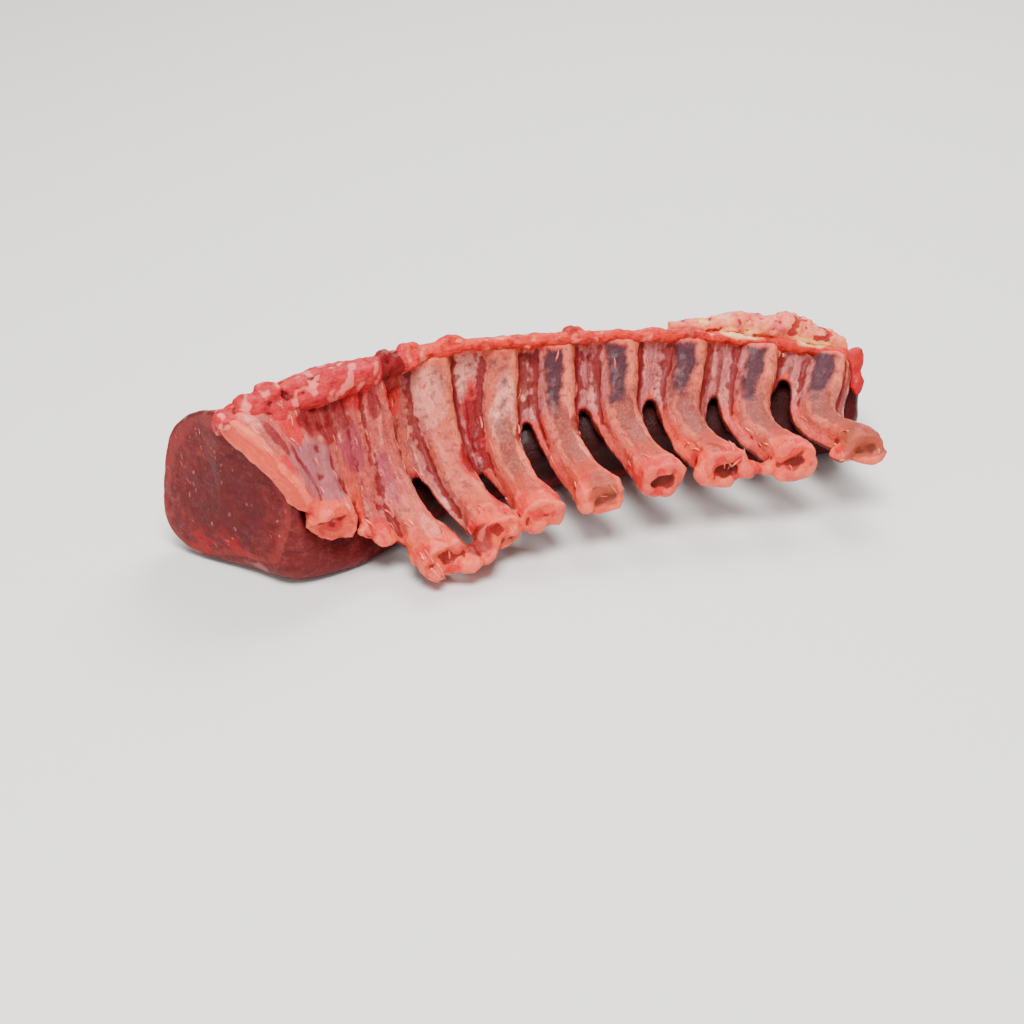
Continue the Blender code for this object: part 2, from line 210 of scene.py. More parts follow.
def new_object(name, points, faces):
    """An object from points in mm and faces, with outward faces and smooth shading."""
    data = bpy.data.meshes.new(name)
    data.from_pydata((np.asarray(points) * MM).tolist(), [], [list(f) for f in faces])
    mesh = bmesh.new()
    mesh.from_mesh(data)
    bmesh.ops.recalc_face_normals(mesh, faces=mesh.faces)
    mesh.to_mesh(data)
    mesh.free()
    data.shade_smooth()
    return linked(name, data)


def evaluated_mesh(thing):
    """The mesh that an object's modifiers make of it."""
    bpy.context.view_layer.update()
    graph = bpy.context.evaluated_depsgraph_get()
    return bpy.data.meshes.new_from_object(thing.evaluated_get(graph))


def keep_result(thing):
    """Leaves what the object's modifiers make as its own plain mesh."""
    thing.data = evaluated_mesh(thing)
    thing.modifiers.clear()
    return thing


def one_skin(name, things, voxel, rounds):
    """Joins closed shapes under one even skin of small squares, and softens it."""
    joined = bmesh.new()
    for thing in things:
        joined.from_mesh(evaluated_mesh(thing))
        bpy.data.objects.remove(thing)
    data = bpy.data.meshes.new(name)
    joined.to_mesh(data)
    joined.free()
    skin = linked(name, data)
    remesh = skin.modifiers.new("even skin", "REMESH")
    remesh.mode, remesh.voxel_size, remesh.adaptivity = "VOXEL", voxel * MM, 0
    soften = skin.modifiers.new("soften", "SMOOTH")
    soften.factor, soften.iterations = 0.5, rounds
    keep_result(skin).data.shade_smooth()
    return skin


def points_of(thing):
    """The object's points in mm, and the way each one faces."""
    count = len(thing.data.vertices)
    points, normals = np.empty(count * 3), np.empty(count * 3)
    thing.data.vertices.foreach_get("co", points)
    thing.data.vertex_normals.foreach_get("vector", normals)
    return points.reshape(-1, 3) / MM, normals.reshape(-1, 3)


def move_points(thing, points):
    """Moves the object's points to new places in mm."""
    thing.data.vertices.foreach_set("co", (points * MM).ravel())
    thing.data.update()


def hollows_and_ridges(thing, rounds):
    """How far each point lies below, or above, a softened copy of the surface, in mm."""
    count, pairs = len(thing.data.vertices), np.empty(len(thing.data.edges) * 2, np.int64)
    thing.data.edges.foreach_get("vertices", pairs)
    a, b = pairs[::2], pairs[1::2]
    points, normals = points_of(thing)
    links = np.bincount(pairs, minlength=count)[:, None]
    soft = points
    for _ in range(rounds):
        total = np.stack([np.bincount(a, soft[b, k], count) + np.bincount(b, soft[a, k], count)
                          for k in range(3)], -1)
        soft = 0.4 * soft + 0.6 * total / links
    height = ((points - soft) * normals).sum(-1)
    return np.clip(-height, 0, None), np.clip(height, 0, None)


def store(thing, **values):
    """Keeps a number or a direction at each point, to be read by name."""
    for name, numbers in values.items():
        numbers = np.asarray(numbers, np.float32)
        kind, field = ("FLOAT", "value") if numbers.ndim == 1 else ("FLOAT_VECTOR", "vector")
        layer = thing.data.attributes.new(name, kind, "POINT")
        layer.data.foreach_set(field, numbers.ravel())


# %% [markdown]
# ## Rib bones
# A lamb's rib, with its membrane on, is a flat oval about 11 mm wide and 9 mm deep, and a
# butcher's saw leaves its end a little ragged and wider with meat. Nine of them repeat
# along the rack, which is work for Geometry Nodes: one polyline for each rib goes in, with
# its own thickness and facing stored at each point, and the tree sweeps one oval along
# them all.

# %% One function for every node
def add_node(tree, kind, inputs=(), **settings):
    """Adds a node with its settings. Each input is a value, a socket to link from, or a
    node, which stands for its first output."""
    node = tree.nodes.new(kind)
    for setting, value in settings.items():
        setattr(node, setting, value)
    for key, value in dict(inputs).items():
        if isinstance(value, bpy.types.Node):
            value = value.outputs[0]
        if isinstance(value, bpy.types.NodeSocket):
            tree.links.new(value, node.inputs[key])
        else:
            node.inputs[key].default_value = value
    return node


# %% Trees with named sizes
def new_tree(name, sizes):
    """A Geometry Nodes tree with a named input for each size, and its input node."""
    tree = bpy.data.node_groups.new(name, "GeometryNodeTree")
    tree.interface.new_socket("Geometry", in_out="OUTPUT", socket_type="NodeSocketGeometry")
    kinds = {key: "Int" if isinstance(size, int) else "Float" for key, size in sizes.items()}
    for key, kind in {"Geometry": "Geometry", **kinds, "Material": "Material"}.items():
        tree.interface.new_socket(key, in_out="INPUT", socket_type="NodeSocket" + kind)
    return tree, tree.nodes.new("NodeGroupInput")


def end_tree(tree, source, shape):
    """Ends a tree in plain geometry with its material set."""
    plain = add_node(tree, "GeometryNodeRealizeInstances", {0: shape})
    add_node(tree, "NodeGroupOutput", {0: add_node(tree, "GeometryNodeSetMaterial", {
        "Geometry": plain, "Material": source.outputs["Material"]})})


def grown(thing, tree, sizes, material=None):
    """Runs a tree on an object once, and leaves the result as its plain mesh."""
    modifier = thing.modifiers.new(tree.name, "NODES")
    modifier.node_group = tree
    values = {**sizes, "Material": material}
    for socket in tree.interface.items_tree:
        if socket.in_out == "INPUT" and socket.name in values:
            modifier[socket.identifier] = values[socket.name]
    return keep_result(thing)


# %% The sweeping tree
sweep_sizes = {"Width": 1.0, "Depth": 1.0, "Squareness": 2.0, "Sides": 28}
sweep_tree, source = new_tree("Swept oval", sweep_sizes)
as_curve = add_node(sweep_tree, "GeometryNodeMeshToCurve", {0: source.outputs["Geometry"]})
facing_read, swell_read = (
    add_node(sweep_tree, "GeometryNodeInputNamedAttribute", {"Name": name}, data_type=kind)
    for name, kind in (("facing", "FLOAT_VECTOR"), ("swell", "FLOAT")))
turned = add_node(sweep_tree, "GeometryNodeSetCurveNormal", {
    "Curve": as_curve, "Normal": facing_read}, mode="FREE")
ring = add_node(sweep_tree, "GeometryNodeCurvePrimitiveCircle", {
    "Resolution": source.outputs["Sides"], "Radius": 0.5})
ring_place = add_node(sweep_tree, "GeometryNodeInputPosition")
# The circle's radius is a half, so twice a point's place is at most 1 each way.
twice = add_node(sweep_tree, "ShaderNodeVectorMath", {0: ring_place, 1: (2, 2, 2)},
                 operation="MULTIPLY")
size_each_way = add_node(sweep_tree, "ShaderNodeVectorMath", {0: twice}, operation="ABSOLUTE")
apart = add_node(sweep_tree, "ShaderNodeSeparateXYZ", {0: size_each_way})
# A higher power pushes the circle's points out toward the corners of a box.
powers = [add_node(sweep_tree, "ShaderNodeMath", {
    0: apart.outputs[axis], 1: source.outputs["Squareness"]}, operation="POWER") for axis in (0, 1)]
power_sum = add_node(sweep_tree, "ShaderNodeMath", {0: powers[0], 1: powers[1]}, operation="ADD")
root = add_node(sweep_tree, "ShaderNodeMath", {
    0: -1.0, 1: source.outputs["Squareness"]}, operation="DIVIDE")
corner = add_node(sweep_tree, "ShaderNodeMath", {0: power_sum, 1: root}, operation="POWER")
across_ring = add_node(sweep_tree, "ShaderNodeCombineXYZ", {
    0: source.outputs["Depth"], 1: source.outputs["Width"], 2: 1.0})
sized = add_node(sweep_tree, "ShaderNodeVectorMath", {
    0: ring_place, 1: across_ring}, operation="MULTIPLY")
squared = add_node(sweep_tree, "ShaderNodeVectorMath", {
    0: sized, "Scale": corner}, operation="SCALE")
oval = add_node(sweep_tree, "GeometryNodeSetPosition", {"Geometry": ring, "Position": squared})
end_tree(sweep_tree, source, add_node(sweep_tree, "GeometryNodeCurveToMesh", {
    "Curve": turned, "Profile Curve": oval, "Fill Caps": True, "Scale": swell_read}))
print("the sweeping tree has", len(sweep_tree.nodes), "nodes")


def swept(name, lines, width, depth, squareness=2.0):
    """One closed oval bar in mm along each line of (points, swells, facings)."""
    points, swells, facings = (np.concatenate(part) for part in zip(*lines))
    lengths = [len(line[0]) for line in lines]
    firsts = np.cumsum([0, *lengths[:-1]])
    edges = [(first + k, first + k + 1)
             for first, length in zip(firsts, lengths) for k in range(length - 1)]
    data = bpy.data.meshes.new(name)
    data.from_pydata((points * MM).tolist(), edges, [])
    bar = linked(name, data)
    store(bar, swell=swells, facing=facings)
    return grown(bar, sweep_tree, {**sweep_sizes, "Width": width * MM, "Depth": depth * MM,
                                   "Squareness": squareness})


# %% Sweep the bones
RIBS = (
    # station, lean, reach at the chine and at the tip, swell at the chine and at the tip,
    # rise above the wall
    (-0.12, -0.40, 0.09, 0.60, 0.75, 1.30, 0.3),
    (1.0, 0.0, 0.03, 1.01, 1.05, 1.45, 0.9),
    (2.0, 0.0, 0.03, 0.98, 1.25, 1.30, 2.0),
    (3.0, 0.0, 0.03, 0.99, 0.98, 1.20, 2.4),
    (4.0, 0.0, 0.03, 1.00, 1.08, 1.24, 2.4),
    (5.0, 0.0, 0.03, 0.99, 1.10, 1.30, 2.4),
    (6.0, 0.0, 0.03, 0.97, 1.04, 1.36, 2.4),
    (7.0, 0.0, 0.03, 1.02, 1.16, 1.34, 2.4),
    (8.0, 0.0, 0.03, 1.04, 1.08, 1.10, 2.2),
)
RIB_ENDS = np.array([rib[3] for rib in RIBS])
RIB_WIDTH, RIB_DEPTH, RIB_RAISE, RIB_SQUARENESS = 11.0, 8.75, 2.4, 2.5
RIB_PITCH = 21.0  # mm from one rib to the next, along the rack
STEPS_ALONG_RIB = 44


def bone_stations(reach):
    """The station of every bone at one reach. A bone that leans drifts along the rack."""
    first, lean = np.array([rib[:2] for rib in RIBS]).T
    return first + lean * steps(0.1, 0.7, np.asarray(reach)[..., None])


rib_lines = []
for rib, (_, _, rib_start, rib_end, top_swell, tip_swell, rise) in enumerate(RIBS):
    reaches = np.linspace(rib_start, rib_end, STEPS_ALONG_RIB)
    centres, inward = wall(bone_stations(reaches)[:, rib], reaches)
    swells = 1 + (top_swell - 1) * steps(0.6, 0.1, reaches) + (
        (tip_swell - 1) * steps(rib_end - 0.28, rib_end - 0.03, reaches))
    raised = (rise + (RIB_RAISE - rise) * steps(0.35, 0.8, reaches)) * steps(0.0, 0.24, reaches)
    rib_lines.append((centres + inward * raised[:, None], swells, inward))

# Meat left along the near side of each long rib, from the top of the gap to the tip.
FLANK_ASIDE, FLANK_SIZE, FLANK_TOP, FIRST_LONG_RIB = 4.8, 4.4, 0.34, 3
for rib in range(FIRST_LONG_RIB, len(RIBS)):
    rib_station, rib_end = RIBS[rib][0], RIBS[rib][3]
    reaches = np.linspace(FLANK_TOP, rib_end - 0.02, STEPS_ALONG_RIB)
    unevenness = 0.13 * np.sin(reaches * 17 + 2.3 * rib) + 0.09 * np.sin(reaches * 39 + 5.1 * rib)
    aside = FLANK_ASIDE / RIB_PITCH - 0.012 * (rib % 3) + 0.02 * np.sin(reaches * 11 + rib)
    centres, inward = wall(rib_station - aside, reaches)
    swells = steps(0.30, 0.5, reaches) * (1 + unevenness) + 0.15
    rib_lines.append((centres + inward * 0.4, swells * FLANK_SIZE / RIB_WIDTH, inward))

# The first bone is sawn off short. Its cut end faces forward, a flat ring of bone and meat.
STUB_PLACE, STUB_HEIGHT, STUB_WAY = (-0.50, 0.63), 0.8, (-0.18, -0.95, -0.36)
STUB_LENGTH, STUB_STEPS = 13, 8
here, inward = wall(*(np.array([number]) for number in STUB_PLACE))
stub_end = here[0] + inward[0] * STUB_HEIGHT
stub_way = unit(np.array(STUB_WAY))
stub_back = np.linspace(-STUB_LENGTH, 0, STUB_STEPS)[:, None]
stub_facing = unit(np.cross(np.cross(stub_way, inward[0]), stub_way))
rib_lines.append((stub_end + stub_way * stub_back, np.linspace(0.9, 1.45, STUB_STEPS),
                  np.tile(stub_facing, (STUB_STEPS, 1))))
bones = swept("bones", rib_lines, RIB_WIDTH, RIB_DEPTH, RIB_SQUARENESS)
print(f"{len(RIBS)} bones, {len(bones.data.polygons)} faces")

# %% [markdown]
# ## The wall between the bones
# The wall is about 8 mm thick where it lies on the loin and thins below it. The butcher
# has cut a gap out between each two long ribs, so the lower edge runs down along one bone,
# arches up and runs down again along the next. A closed slab follows this edge: its inner
# and outer faces are one grid each, with the edge's own place as the last row.

# %% The slab and its arched lower edge
GAPS = (
    # station, reach at the top, width in mm
    (1.43, 0.52, 8.5),
    (2.46, 0.60, 9.5),
    (3.46, 0.38, 10.5),
    (4.46, 0.36, 10.5),
    (5.53, 0.33, 11.0),
    (6.48, 0.32, 8.4),
    (7.44, 0.20, 11.0),
)
SHEET_START, SHEET_END, GAP_ARCH = 0.012, 8.40, 2.8
# How far the wall runs out past the cut near its top, and how soon that fades, in stations
RUN_OUT, RUN_OUT_FADE = 0.30, 1.2
# station, reach of the lower edge where there is no gap
LOWER_EDGE = ((-1, 0.54), (-0.5, 0.61), (0.1, 0.63), (0.4, 0.71), (1.0, 0.93), (1.6, 0.90),
              (4.0, 0.92), (8.4, 0.92))
# Thickness inward and outward of the wall's middle, and where it rounds to its edge, in mm
SHEET_INNER, SHEET_OUTER, EDGE_ROUNDING = 3.4, 4.6, 5.0
HOLLOW_BETWEEN_BONES = 2.4
SLAB_ROWS, SLAB_COLUMNS = 420, 90


def cut_at(reach):
    """The station where the wall is cut: further out near the top."""
    return CUT_END + 0.02 - RUN_OUT * steps(0.75, 0.15, reach)


def lower_edge(station):
    """The reach where the wall ends at each station, the gaps' arches included."""
    edge = smooth(LOWER_EDGE, station)[..., 0]
    for middle, top, width in GAPS:
        aside = np.abs(station - middle) * RIB_PITCH / (width / 2)
        arch = top + (edge - top) * np.clip(aside, 0, 1) ** GAP_ARCH
        edge = np.where(aside < 1, np.minimum(edge, arch), edge)
    return edge


rows = np.linspace(CUT_END, SHEET_END, SLAB_ROWS)
shares = np.linspace(0, 1, SLAB_COLUMNS)
slab_station = np.repeat(rows[:, None], SLAB_COLUMNS, 1)
slab_edge = lower_edge(rows)[:, None]
slab_reach = SHEET_START + (slab_edge - SHEET_START) * shares
slab_station += (cut_at(slab_reach) - CUT_END) * steps(
    CUT_END + RUN_OUT_FADE, CUT_END, slab_station)
to_edge = (slab_edge - slab_reach) * rib_length
thin = np.sqrt(np.clip(to_edge / EDGE_ROUNDING, 0.02, 1))
thin = thin * (1 - 0.3 * steps(0.45, 0.8, slab_reach))
thin = np.maximum(thin * steps(-0.06, 0.07, slab_reach), 0.12)
middle, inward = wall(slab_station, slab_reach)
hollow = HOLLOW_BETWEEN_BONES * steps(0.5, 1.6, slab_station) * steps(-0.03, 0.1, slab_reach)
inner = middle + inward * ((SHEET_INNER - hollow) * thin)[..., None]
backing = 1 - 0.65 * steps(0.3, 0.6, slab_reach) * steps(0.6, 1.6, slab_station)
outer = middle - inward * (SHEET_OUTER * thin * backing)[..., None]
count = SLAB_ROWS * SLAB_COLUMNS
number = np.arange(count).reshape(SLAB_ROWS, SLAB_COLUMNS)


def squares(a):
    """The faces of a grid of point numbers."""
    return np.stack([a[:-1, :-1], a[:-1, 1:], a[1:, 1:], a[1:, :-1]], -1).reshape(-1, 4)


def rim(line, other):
    """Faces between two lines of point numbers."""
    return np.stack([line[:-1], line[1:], other[1:], other[:-1]], -1)


slab_faces = np.concatenate(
    [squares(number), squares(number + count)]
    + [rim(number[s], number[s] + count) for s in (
        (0, slice(None)), (-1, slice(None)), (slice(None), 0), (slice(None), -1))])
slab = new_object(
    "slab", np.concatenate([inner.reshape(-1, 3), outer.reshape(-1, 3)]), slab_faces)
print(len(slab_faces), "slab faces, edge from reach", slab_edge.min().round(2), "to",
      slab_edge.max().round(2))

# %% [markdown]
# ## Bones and wall under one skin
# On the real rack a thin wet membrane covers bones and meat alike, so the bones show as
# smooth ridges without a seam. A voxel remesh puts one even skin over bones and slab, and
# a little smoothing turns the corner between them into a soft fillet.

# %% Meat left on the tips
TIP_MEAT = (
    # station, reach, height above the wall, radii along the rack, along the rib, inward
    (0.74, 0.92, 1.0, 3.2, 6.5, 3.0), (0.84, 0.99, 0.8, 4.6, 4.6, 3.4),
    (1.12, 1.01, 0.6, 5.0, 3.2, 3.0), (0.46, 0.74, 0.8, 4.2, 5.0, 2.4),
    (0.22, 0.69, 0.9, 3.6, 2.6, 2.0), (1.36, 1.01, 0.6, 5.2, 5.0, 2.8),
    (1.62, 1.02, 0.8, 4.8, 4.8, 2.8), (1.84, 0.97, 1.8, 3.4, 5.0, 2.8),
    (2.26, 0.96, 2.2, 3.2, 3.8, 2.6), (2.42, 0.975, 1.6, 2.4, 2.4, 2.0),
    (2.86, 0.985, 0.2, 4.0, 2.4, 2.6), (3.76, 0.96, 0.6, 2.6, 4.6, 3.0),
    (4.2, 0.995, 0.2, 3.4, 2.4, 2.4), (4.74, 0.94, 0.6, 2.6, 5.0, 3.0),
    (5.1, 0.985, -0.4, 3.4, 2.2, 2.4), (5.74, 0.94, 0.8, 3.4, 4.4, 3.4),
    (5.98, 0.98, -1.2, 4.0, 2.4, 2.6), (6.36, 0.965, 1.0, 4.6, 3.2, 2.6),
    (6.64, 0.985, 1.2, 4.4, 3.0, 2.4), (6.92, 1.02, -0.6, 4.8, 2.6, 2.8),
    (7.68, 0.98, 0.6, 3.6, 4.6, 2.8), (8.1, 1.03, -0.6, 4.8, 2.4, 2.2),
)


def lump(centre, radii, ways):
    """A round lump: a closed ball of small triangles, its radii along three given ways."""
    mesh = bmesh.new()
    bmesh.ops.create_icosphere(mesh, subdivisions=3, radius=1)
    points = np.array([v.co for v in mesh.verts]) * radii @ np.array(ways) + centre
    faces = [[v.index for v in face.verts] for face in mesh.faces]
    mesh.free()
    return new_object("lump", points, faces)


def ways_at(station, reach):
    """Along the rack, along the rib and inward, at one place."""
    here, inward = wall(np.array([station]), np.array([reach]))
    further = wall(np.array([station + 0.05]), np.array([reach]))[0]
    along_rack = unit(further - here)[0]
    return here[0], (along_rack, unit(np.cross(inward[0], along_rack)), inward[0])


def placed_lumps(rows):
    """Lumps at the stations, reaches and heights that the rows give."""
    balls = []
    for at, down, above, *radii in rows:
        here, ways = ways_at(at, down)
        balls.append(lump(here + ways[2] * above, np.array(radii), ways))
    return balls


tip_lumps = placed_lumps(TIP_MEAT)
print(len(tip_lumps), "lumps on the tips")

# %% One skin
SKIN_VOXEL = 0.72  # mm
rib_wall = one_skin("rib_wall", [bones, slab, *tip_lumps], SKIN_VOXEL, 6)
# The upper wall, where the membrane lies thickest, is softened a second time.
reach = places(points_of(rib_wall)[0])[1]
upper = rib_wall.vertex_groups.new(name="upper wall")
for number, weight in enumerate(steps(0.55, 0.25, reach).tolist()):
    upper.add([number], weight, "REPLACE")
settle = rib_wall.modifiers.new("settle", "SMOOTH")
settle.factor, settle.iterations, settle.vertex_group = 0.5, 14, "upper wall"
keep_result(rib_wall)
print("rib wall:", len(rib_wall.data.vertices), "points")

# %% [markdown]
# ## The eye of the loin
# The muscle is a long soft log. It lies flat where its own weight presses it on the table,
# bulges out at the back and runs up under the bones. Each section across it is one closed
# outline, so a loft through many sections gives the whole form. The cut end is a disc of
# rings with a soft edge, and the rings' numbers later say how near the edge a point lies.

# %% Sections of the loin
LOIN = (
    # station, bulge at the back, reach at the front, flat to the back, flat to the front,
    # height of the back's shoulder as a share of the top's, depth under the wall
    (-1.0, 30, 0.62, 13, 21, 1.17, 2.0),
    (-0.8, 30, 0.62, 13, 22, 1.12, 3.8),
    (-0.4, 30, 0.63, 13, 24, 1.06, 4.9),
    (0.3, 29, 0.64, 14, 26, 0.96, 4.9),
    (1.0, 28, 0.62, 14, 24, 0.92, 4.9),
    (2.0, 27, 0.56, 14, 17, 0.92, 4.9),
    (4.0, 24, 0.50, 13, 10, 0.92, 4.9),
    (6.0, 23, 0.46, 12, 8, 0.92, 4.9),
    (8.0, 21, 0.42, 11, 7, 0.92, 4.9),
    (8.6, 16, 0.34, 7, 2, 0.90, 4.9),
)
LOIN_WIDEST, FRONT_BULGE, LOIN_TOP_REACH = 0.40, 2.0, 0.05
SECTION_POINTS, LOIN_SECTIONS, OUTLINE_SOFTENING = 240, 200, 160


def bow(start, corner, end, count=24):
    """Points from start to end that round a corner."""
    t = np.linspace(0, 1, count + 1)[1:, None]
    return (1 - t) ** 2 * start + 2 * (1 - t) * t * corner + t**2 * end


def loin_outline(station):
    """The closed outline of the loin's section, its points evenly spaced."""
    chine, _, across = ends_at(station)
    back, front_reach, flat_back, flat_front, shoulder, under_wall = smooth(LOIN, station)

    def placed(distance, level):
        return np.array([*(chine + across * distance)[:2], level])

    reaches = np.linspace(LOIN_TOP_REACH, front_reach, 30)
    middle, inward = course(np.full(30, station), reaches)
    top_line = middle - inward * under_wall
    top, front = top_line[0], top_line[-1]
    under = placed((front - chine) @ across + FRONT_BULGE, 0)
    widest = placed(-back, LOIN_WIDEST * top[2])
    outline = np.concatenate([
        top_line,
        bow(front, under, placed(flat_front, 0)),
        np.linspace(placed(flat_front, 0), placed(-flat_back, 0), 30)[1:],
        bow(placed(-flat_back, 0), placed(-back, 0), widest),
        bow(widest, placed(-back, shoulder * top[2]), top, 40),
    ])
    lengths = np.append(0, np.linalg.norm(np.diff(outline, axis=0), axis=1).cumsum())
    even = np.linspace(0, lengths[-1], SECTION_POINTS, endpoint=False)
    outline = np.stack([np.interp(even, lengths, outline[:, k]) for k in range(3)], -1)
    for _ in range(OUTLINE_SOFTENING):
        outline = (np.roll(outline, 1, 0) + 2 * outline + np.roll(outline, -1, 0)) / 4
    return outline


def loft(rings):
    """Faces through rings of equal point counts, the first and last closed to a point."""
    faces, size = [], rings[0].shape[0]
    turn = np.arange(size)
    for k in range(len(rings) - 1):
        a, b = k * size + turn, (k + 1) * size + turn
        faces.append(np.stack([a, np.roll(a, -1), np.roll(b, -1), b], -1))
    faces = [tuple(face) for face in np.concatenate(faces)]
    for ring, pole in ((0, len(rings) * size), (len(rings) - 1, len(rings) * size + 1)):
        line = ring * size + turn
        faces += [(int(a), int(b), pole) for a, b in zip(line, np.roll(line, -1))]
    poles = [rings[0].mean(0), rings[-1].mean(0)]
    return np.concatenate([*rings, poles]), faces


cut_outline = loin_outline(CUT_END)
girth = np.linalg.norm(cut_outline - np.roll(cut_outline, 1, 0), axis=1).sum()
print(f"the loin measures {girth:.0f} mm round its cut end")

# %% Loft the loin
FACE_RINGS, FACE_DOME, FACE_EDGE, SOFT_CORNER = 34, 1.4, 1.3, 8.0
near_end = SOFT_CORNER * (1 - np.cos(np.linspace(0, math.pi / 2, 16))) / RIB_PITCH
between = np.linspace(CUT_END + near_end[-1], FAR_END - near_end[-1], LOIN_SECTIONS)[1:-1]
stations = np.concatenate([CUT_END + near_end, between, FAR_END - near_end[::-1]])
outlines = [loin_outline(at) for at in stations]

# Both ends lean the same way: low down the cut runs out by CUT_LEAN and the far end is drawn
# in by FAR_LEAN. The cut's top runs out by TOP_LEAN and up by TOP_RISE toward the rib wall.
CUT_LEAN, TOP_LEAN, FAR_LEAN, LEAN_FADE, TOP_RISE, RISE_FADE = 3.2, 4.5, 5.0, 17.0, 3.2, 30
rack_way = unit((outlines[-1].mean(0) - outlines[0].mean(0)) * (1, 1, 0))
for outline, at in zip(outlines, stations):
    from_cut, from_far = (at - CUT_END) * RIB_PITCH, (FAR_END - at) * RIB_PITCH
    near_cut, near_far = steps(LEAN_FADE, 0, from_cut), steps(LEAN_FADE, 0, from_far)
    lean = (CUT_LEAN * near_cut + FAR_LEAN * near_far) * steps(34, 3, outline[:, 2])
    toward_wall = steps(-16, 4, (outline - outline.mean(0)) @ ends_at(at)[2])
    lean += TOP_LEAN * near_cut * toward_wall * steps(38, 54, outline[:, 2])
    outline -= rack_way * lean[:, None]
    rise = TOP_RISE * steps(RISE_FADE, 0, from_cut) * toward_wall
    outline[:, 2] += rise * steps(32, 50, outline[:, 2])


def rounded(outline, station, depth):
    """A section drawn in where it turns into an end face, most softly low at the front."""
    outward = (outline - outline.mean(0)) @ ends_at(station)[2]
    low = steps(40, 3, outline[:, 2]) * steps(-24, 18, outward)
    size = FACE_EDGE + (SOFT_CORNER - FACE_EDGE) * low
    share = np.clip(1 - depth / size, 0, 1)
    drawn_in = size * (1 - np.sqrt(1 - share**2))
    return outline - unit(outline - outline.mean(0)) * drawn_in[:, None]


def end_rings(outline, outward, dome):
    """Rings from a section's middle out to its edge, the middle domed outward."""
    middle = outline.mean(0)
    return [middle + (outline - middle) * share + outward * dome * (1 - share**2)
            for share in np.linspace(0.02, 1, FACE_RINGS) ** 0.8]


def end_normal(outline, inside):
    """The outward direction square to an end section."""
    a, b = outline[0] - outline.mean(0), outline[SECTION_POINTS // 4] - outline.mean(0)
    normal = unit(np.cross(a, b))
    return normal if (outline.mean(0) - inside.mean(0)) @ normal > 0 else -normal


cut_normal = end_normal(outlines[0], outlines[3])
far_normal = end_normal(outlines[-1], outlines[-4])
sections = [rounded(outline, at, min(at - CUT_END, FAR_END - at) * RIB_PITCH)
            for at, outline in zip(stations, outlines)]
cut_rings = end_rings(sections[0], cut_normal, FACE_DOME)
far_rings = end_rings(sections[-1], far_normal, FACE_DOME)
rings = [*cut_rings[:-1], *sections, *far_rings[:-1][::-1]]
loin_points, loin_faces = loft(rings)
loin = new_object("loin", loin_points, loin_faces)
ring_number = np.append(np.repeat(np.arange(len(rings)), SECTION_POINTS), [0, len(rings) - 1])
print("loin:", len(loin_points), "points, low and high:", np.round(loin_points.min(0), 1),
      np.round(loin_points.max(0), 1))

# %% [markdown]
# ## The trimmed edge and its fat
# Along the top, where the backbone was sawn off, a roll of meat and fat is left. At the
# cut end it is thick, bright red and lumpy. Further on it is a thin salmon rim, with pale
# lumps of fat behind it near the far end. Both are swept like the bones, then round lumps
# of uneven size are pushed into them before they get their skin.

# %% Rolls along the chine
EDGE = (
    # station, radius, across from the chine edge, above it
    (-1.2, 2.6, 2.5, -2.6), (-0.7, 3.8, 3.0, -2.2), (-0.3, 3.2, 3.6, -3.0),
    (0.3, 4.6, 3.6, -3.4), (0.9, 4.2, 3.6, -3.4), (1.5, 3.6, 3.4, -3.1), (2.1, 2.4, 3.1, -2.0),
    (2.6, 1.9, 3.0, -1.4), (3.3, 2.3, 3.0, -1.7), (3.9, 1.8, 3.1, -1.3), (4.4, 2.3, 3.0, -1.6),
    (5.0, 1.8, 3.0, -1.3), (5.6, 2.2, 2.9, -1.5), (6.2, 1.9, 3.0, -1.3), (6.8, 1.7, 3.0, -1.2),
    (7.4, 2.1, 3.0, -1.4), (7.9, 1.9, 2.8, -1.3), (8.5, 2.2, 2.0, -1.6),
)
EDGE_MEAT = (
    # station, reach, height above the wall, radii along the rack, along the rib, inward
    (-1.18, 0.02, 0.8, 4.2, 4.0, 2.0), (-0.86, 0.0, 2.4, 5.4, 3.2, 2.4),
    (-0.56, -0.01, 3.4, 4.4, 4.2, 2.8), (-0.62, 0.09, 2.0, 6.0, 2.4, 1.8),
    (-0.16, 0.01, 2.4, 5.4, 3.6, 2.6), (0.14, 0.045, 3.0, 5.0, 3.0, 2.8),
    (0.44, 0.035, 3.4, 5.4, 4.8, 3.4), (0.72, 0.04, 3.6, 4.4, 4.0, 2.8),
    (0.98, 0.06, 3.0, 4.6, 2.6, 2.2), (1.24, 0.02, 3.2, 4.0, 4.2, 3.0),
    (1.28, 0.085, 2.8, 3.0, 4.6, 2.6), (1.66, 0.0, 2.6, 4.2, 2.4, 2.2),
    (2.3, 0.0, 1.9, 5.0, 2.4, 1.8), (4.26, 0.0, 1.8, 3.6, 2.0, 1.7),
    (8.42, 0.06, 1.2, 2.8, 5.8, 2.2), (8.46, 0.14, 0.4, 2.4, 6.0, 1.8),
)
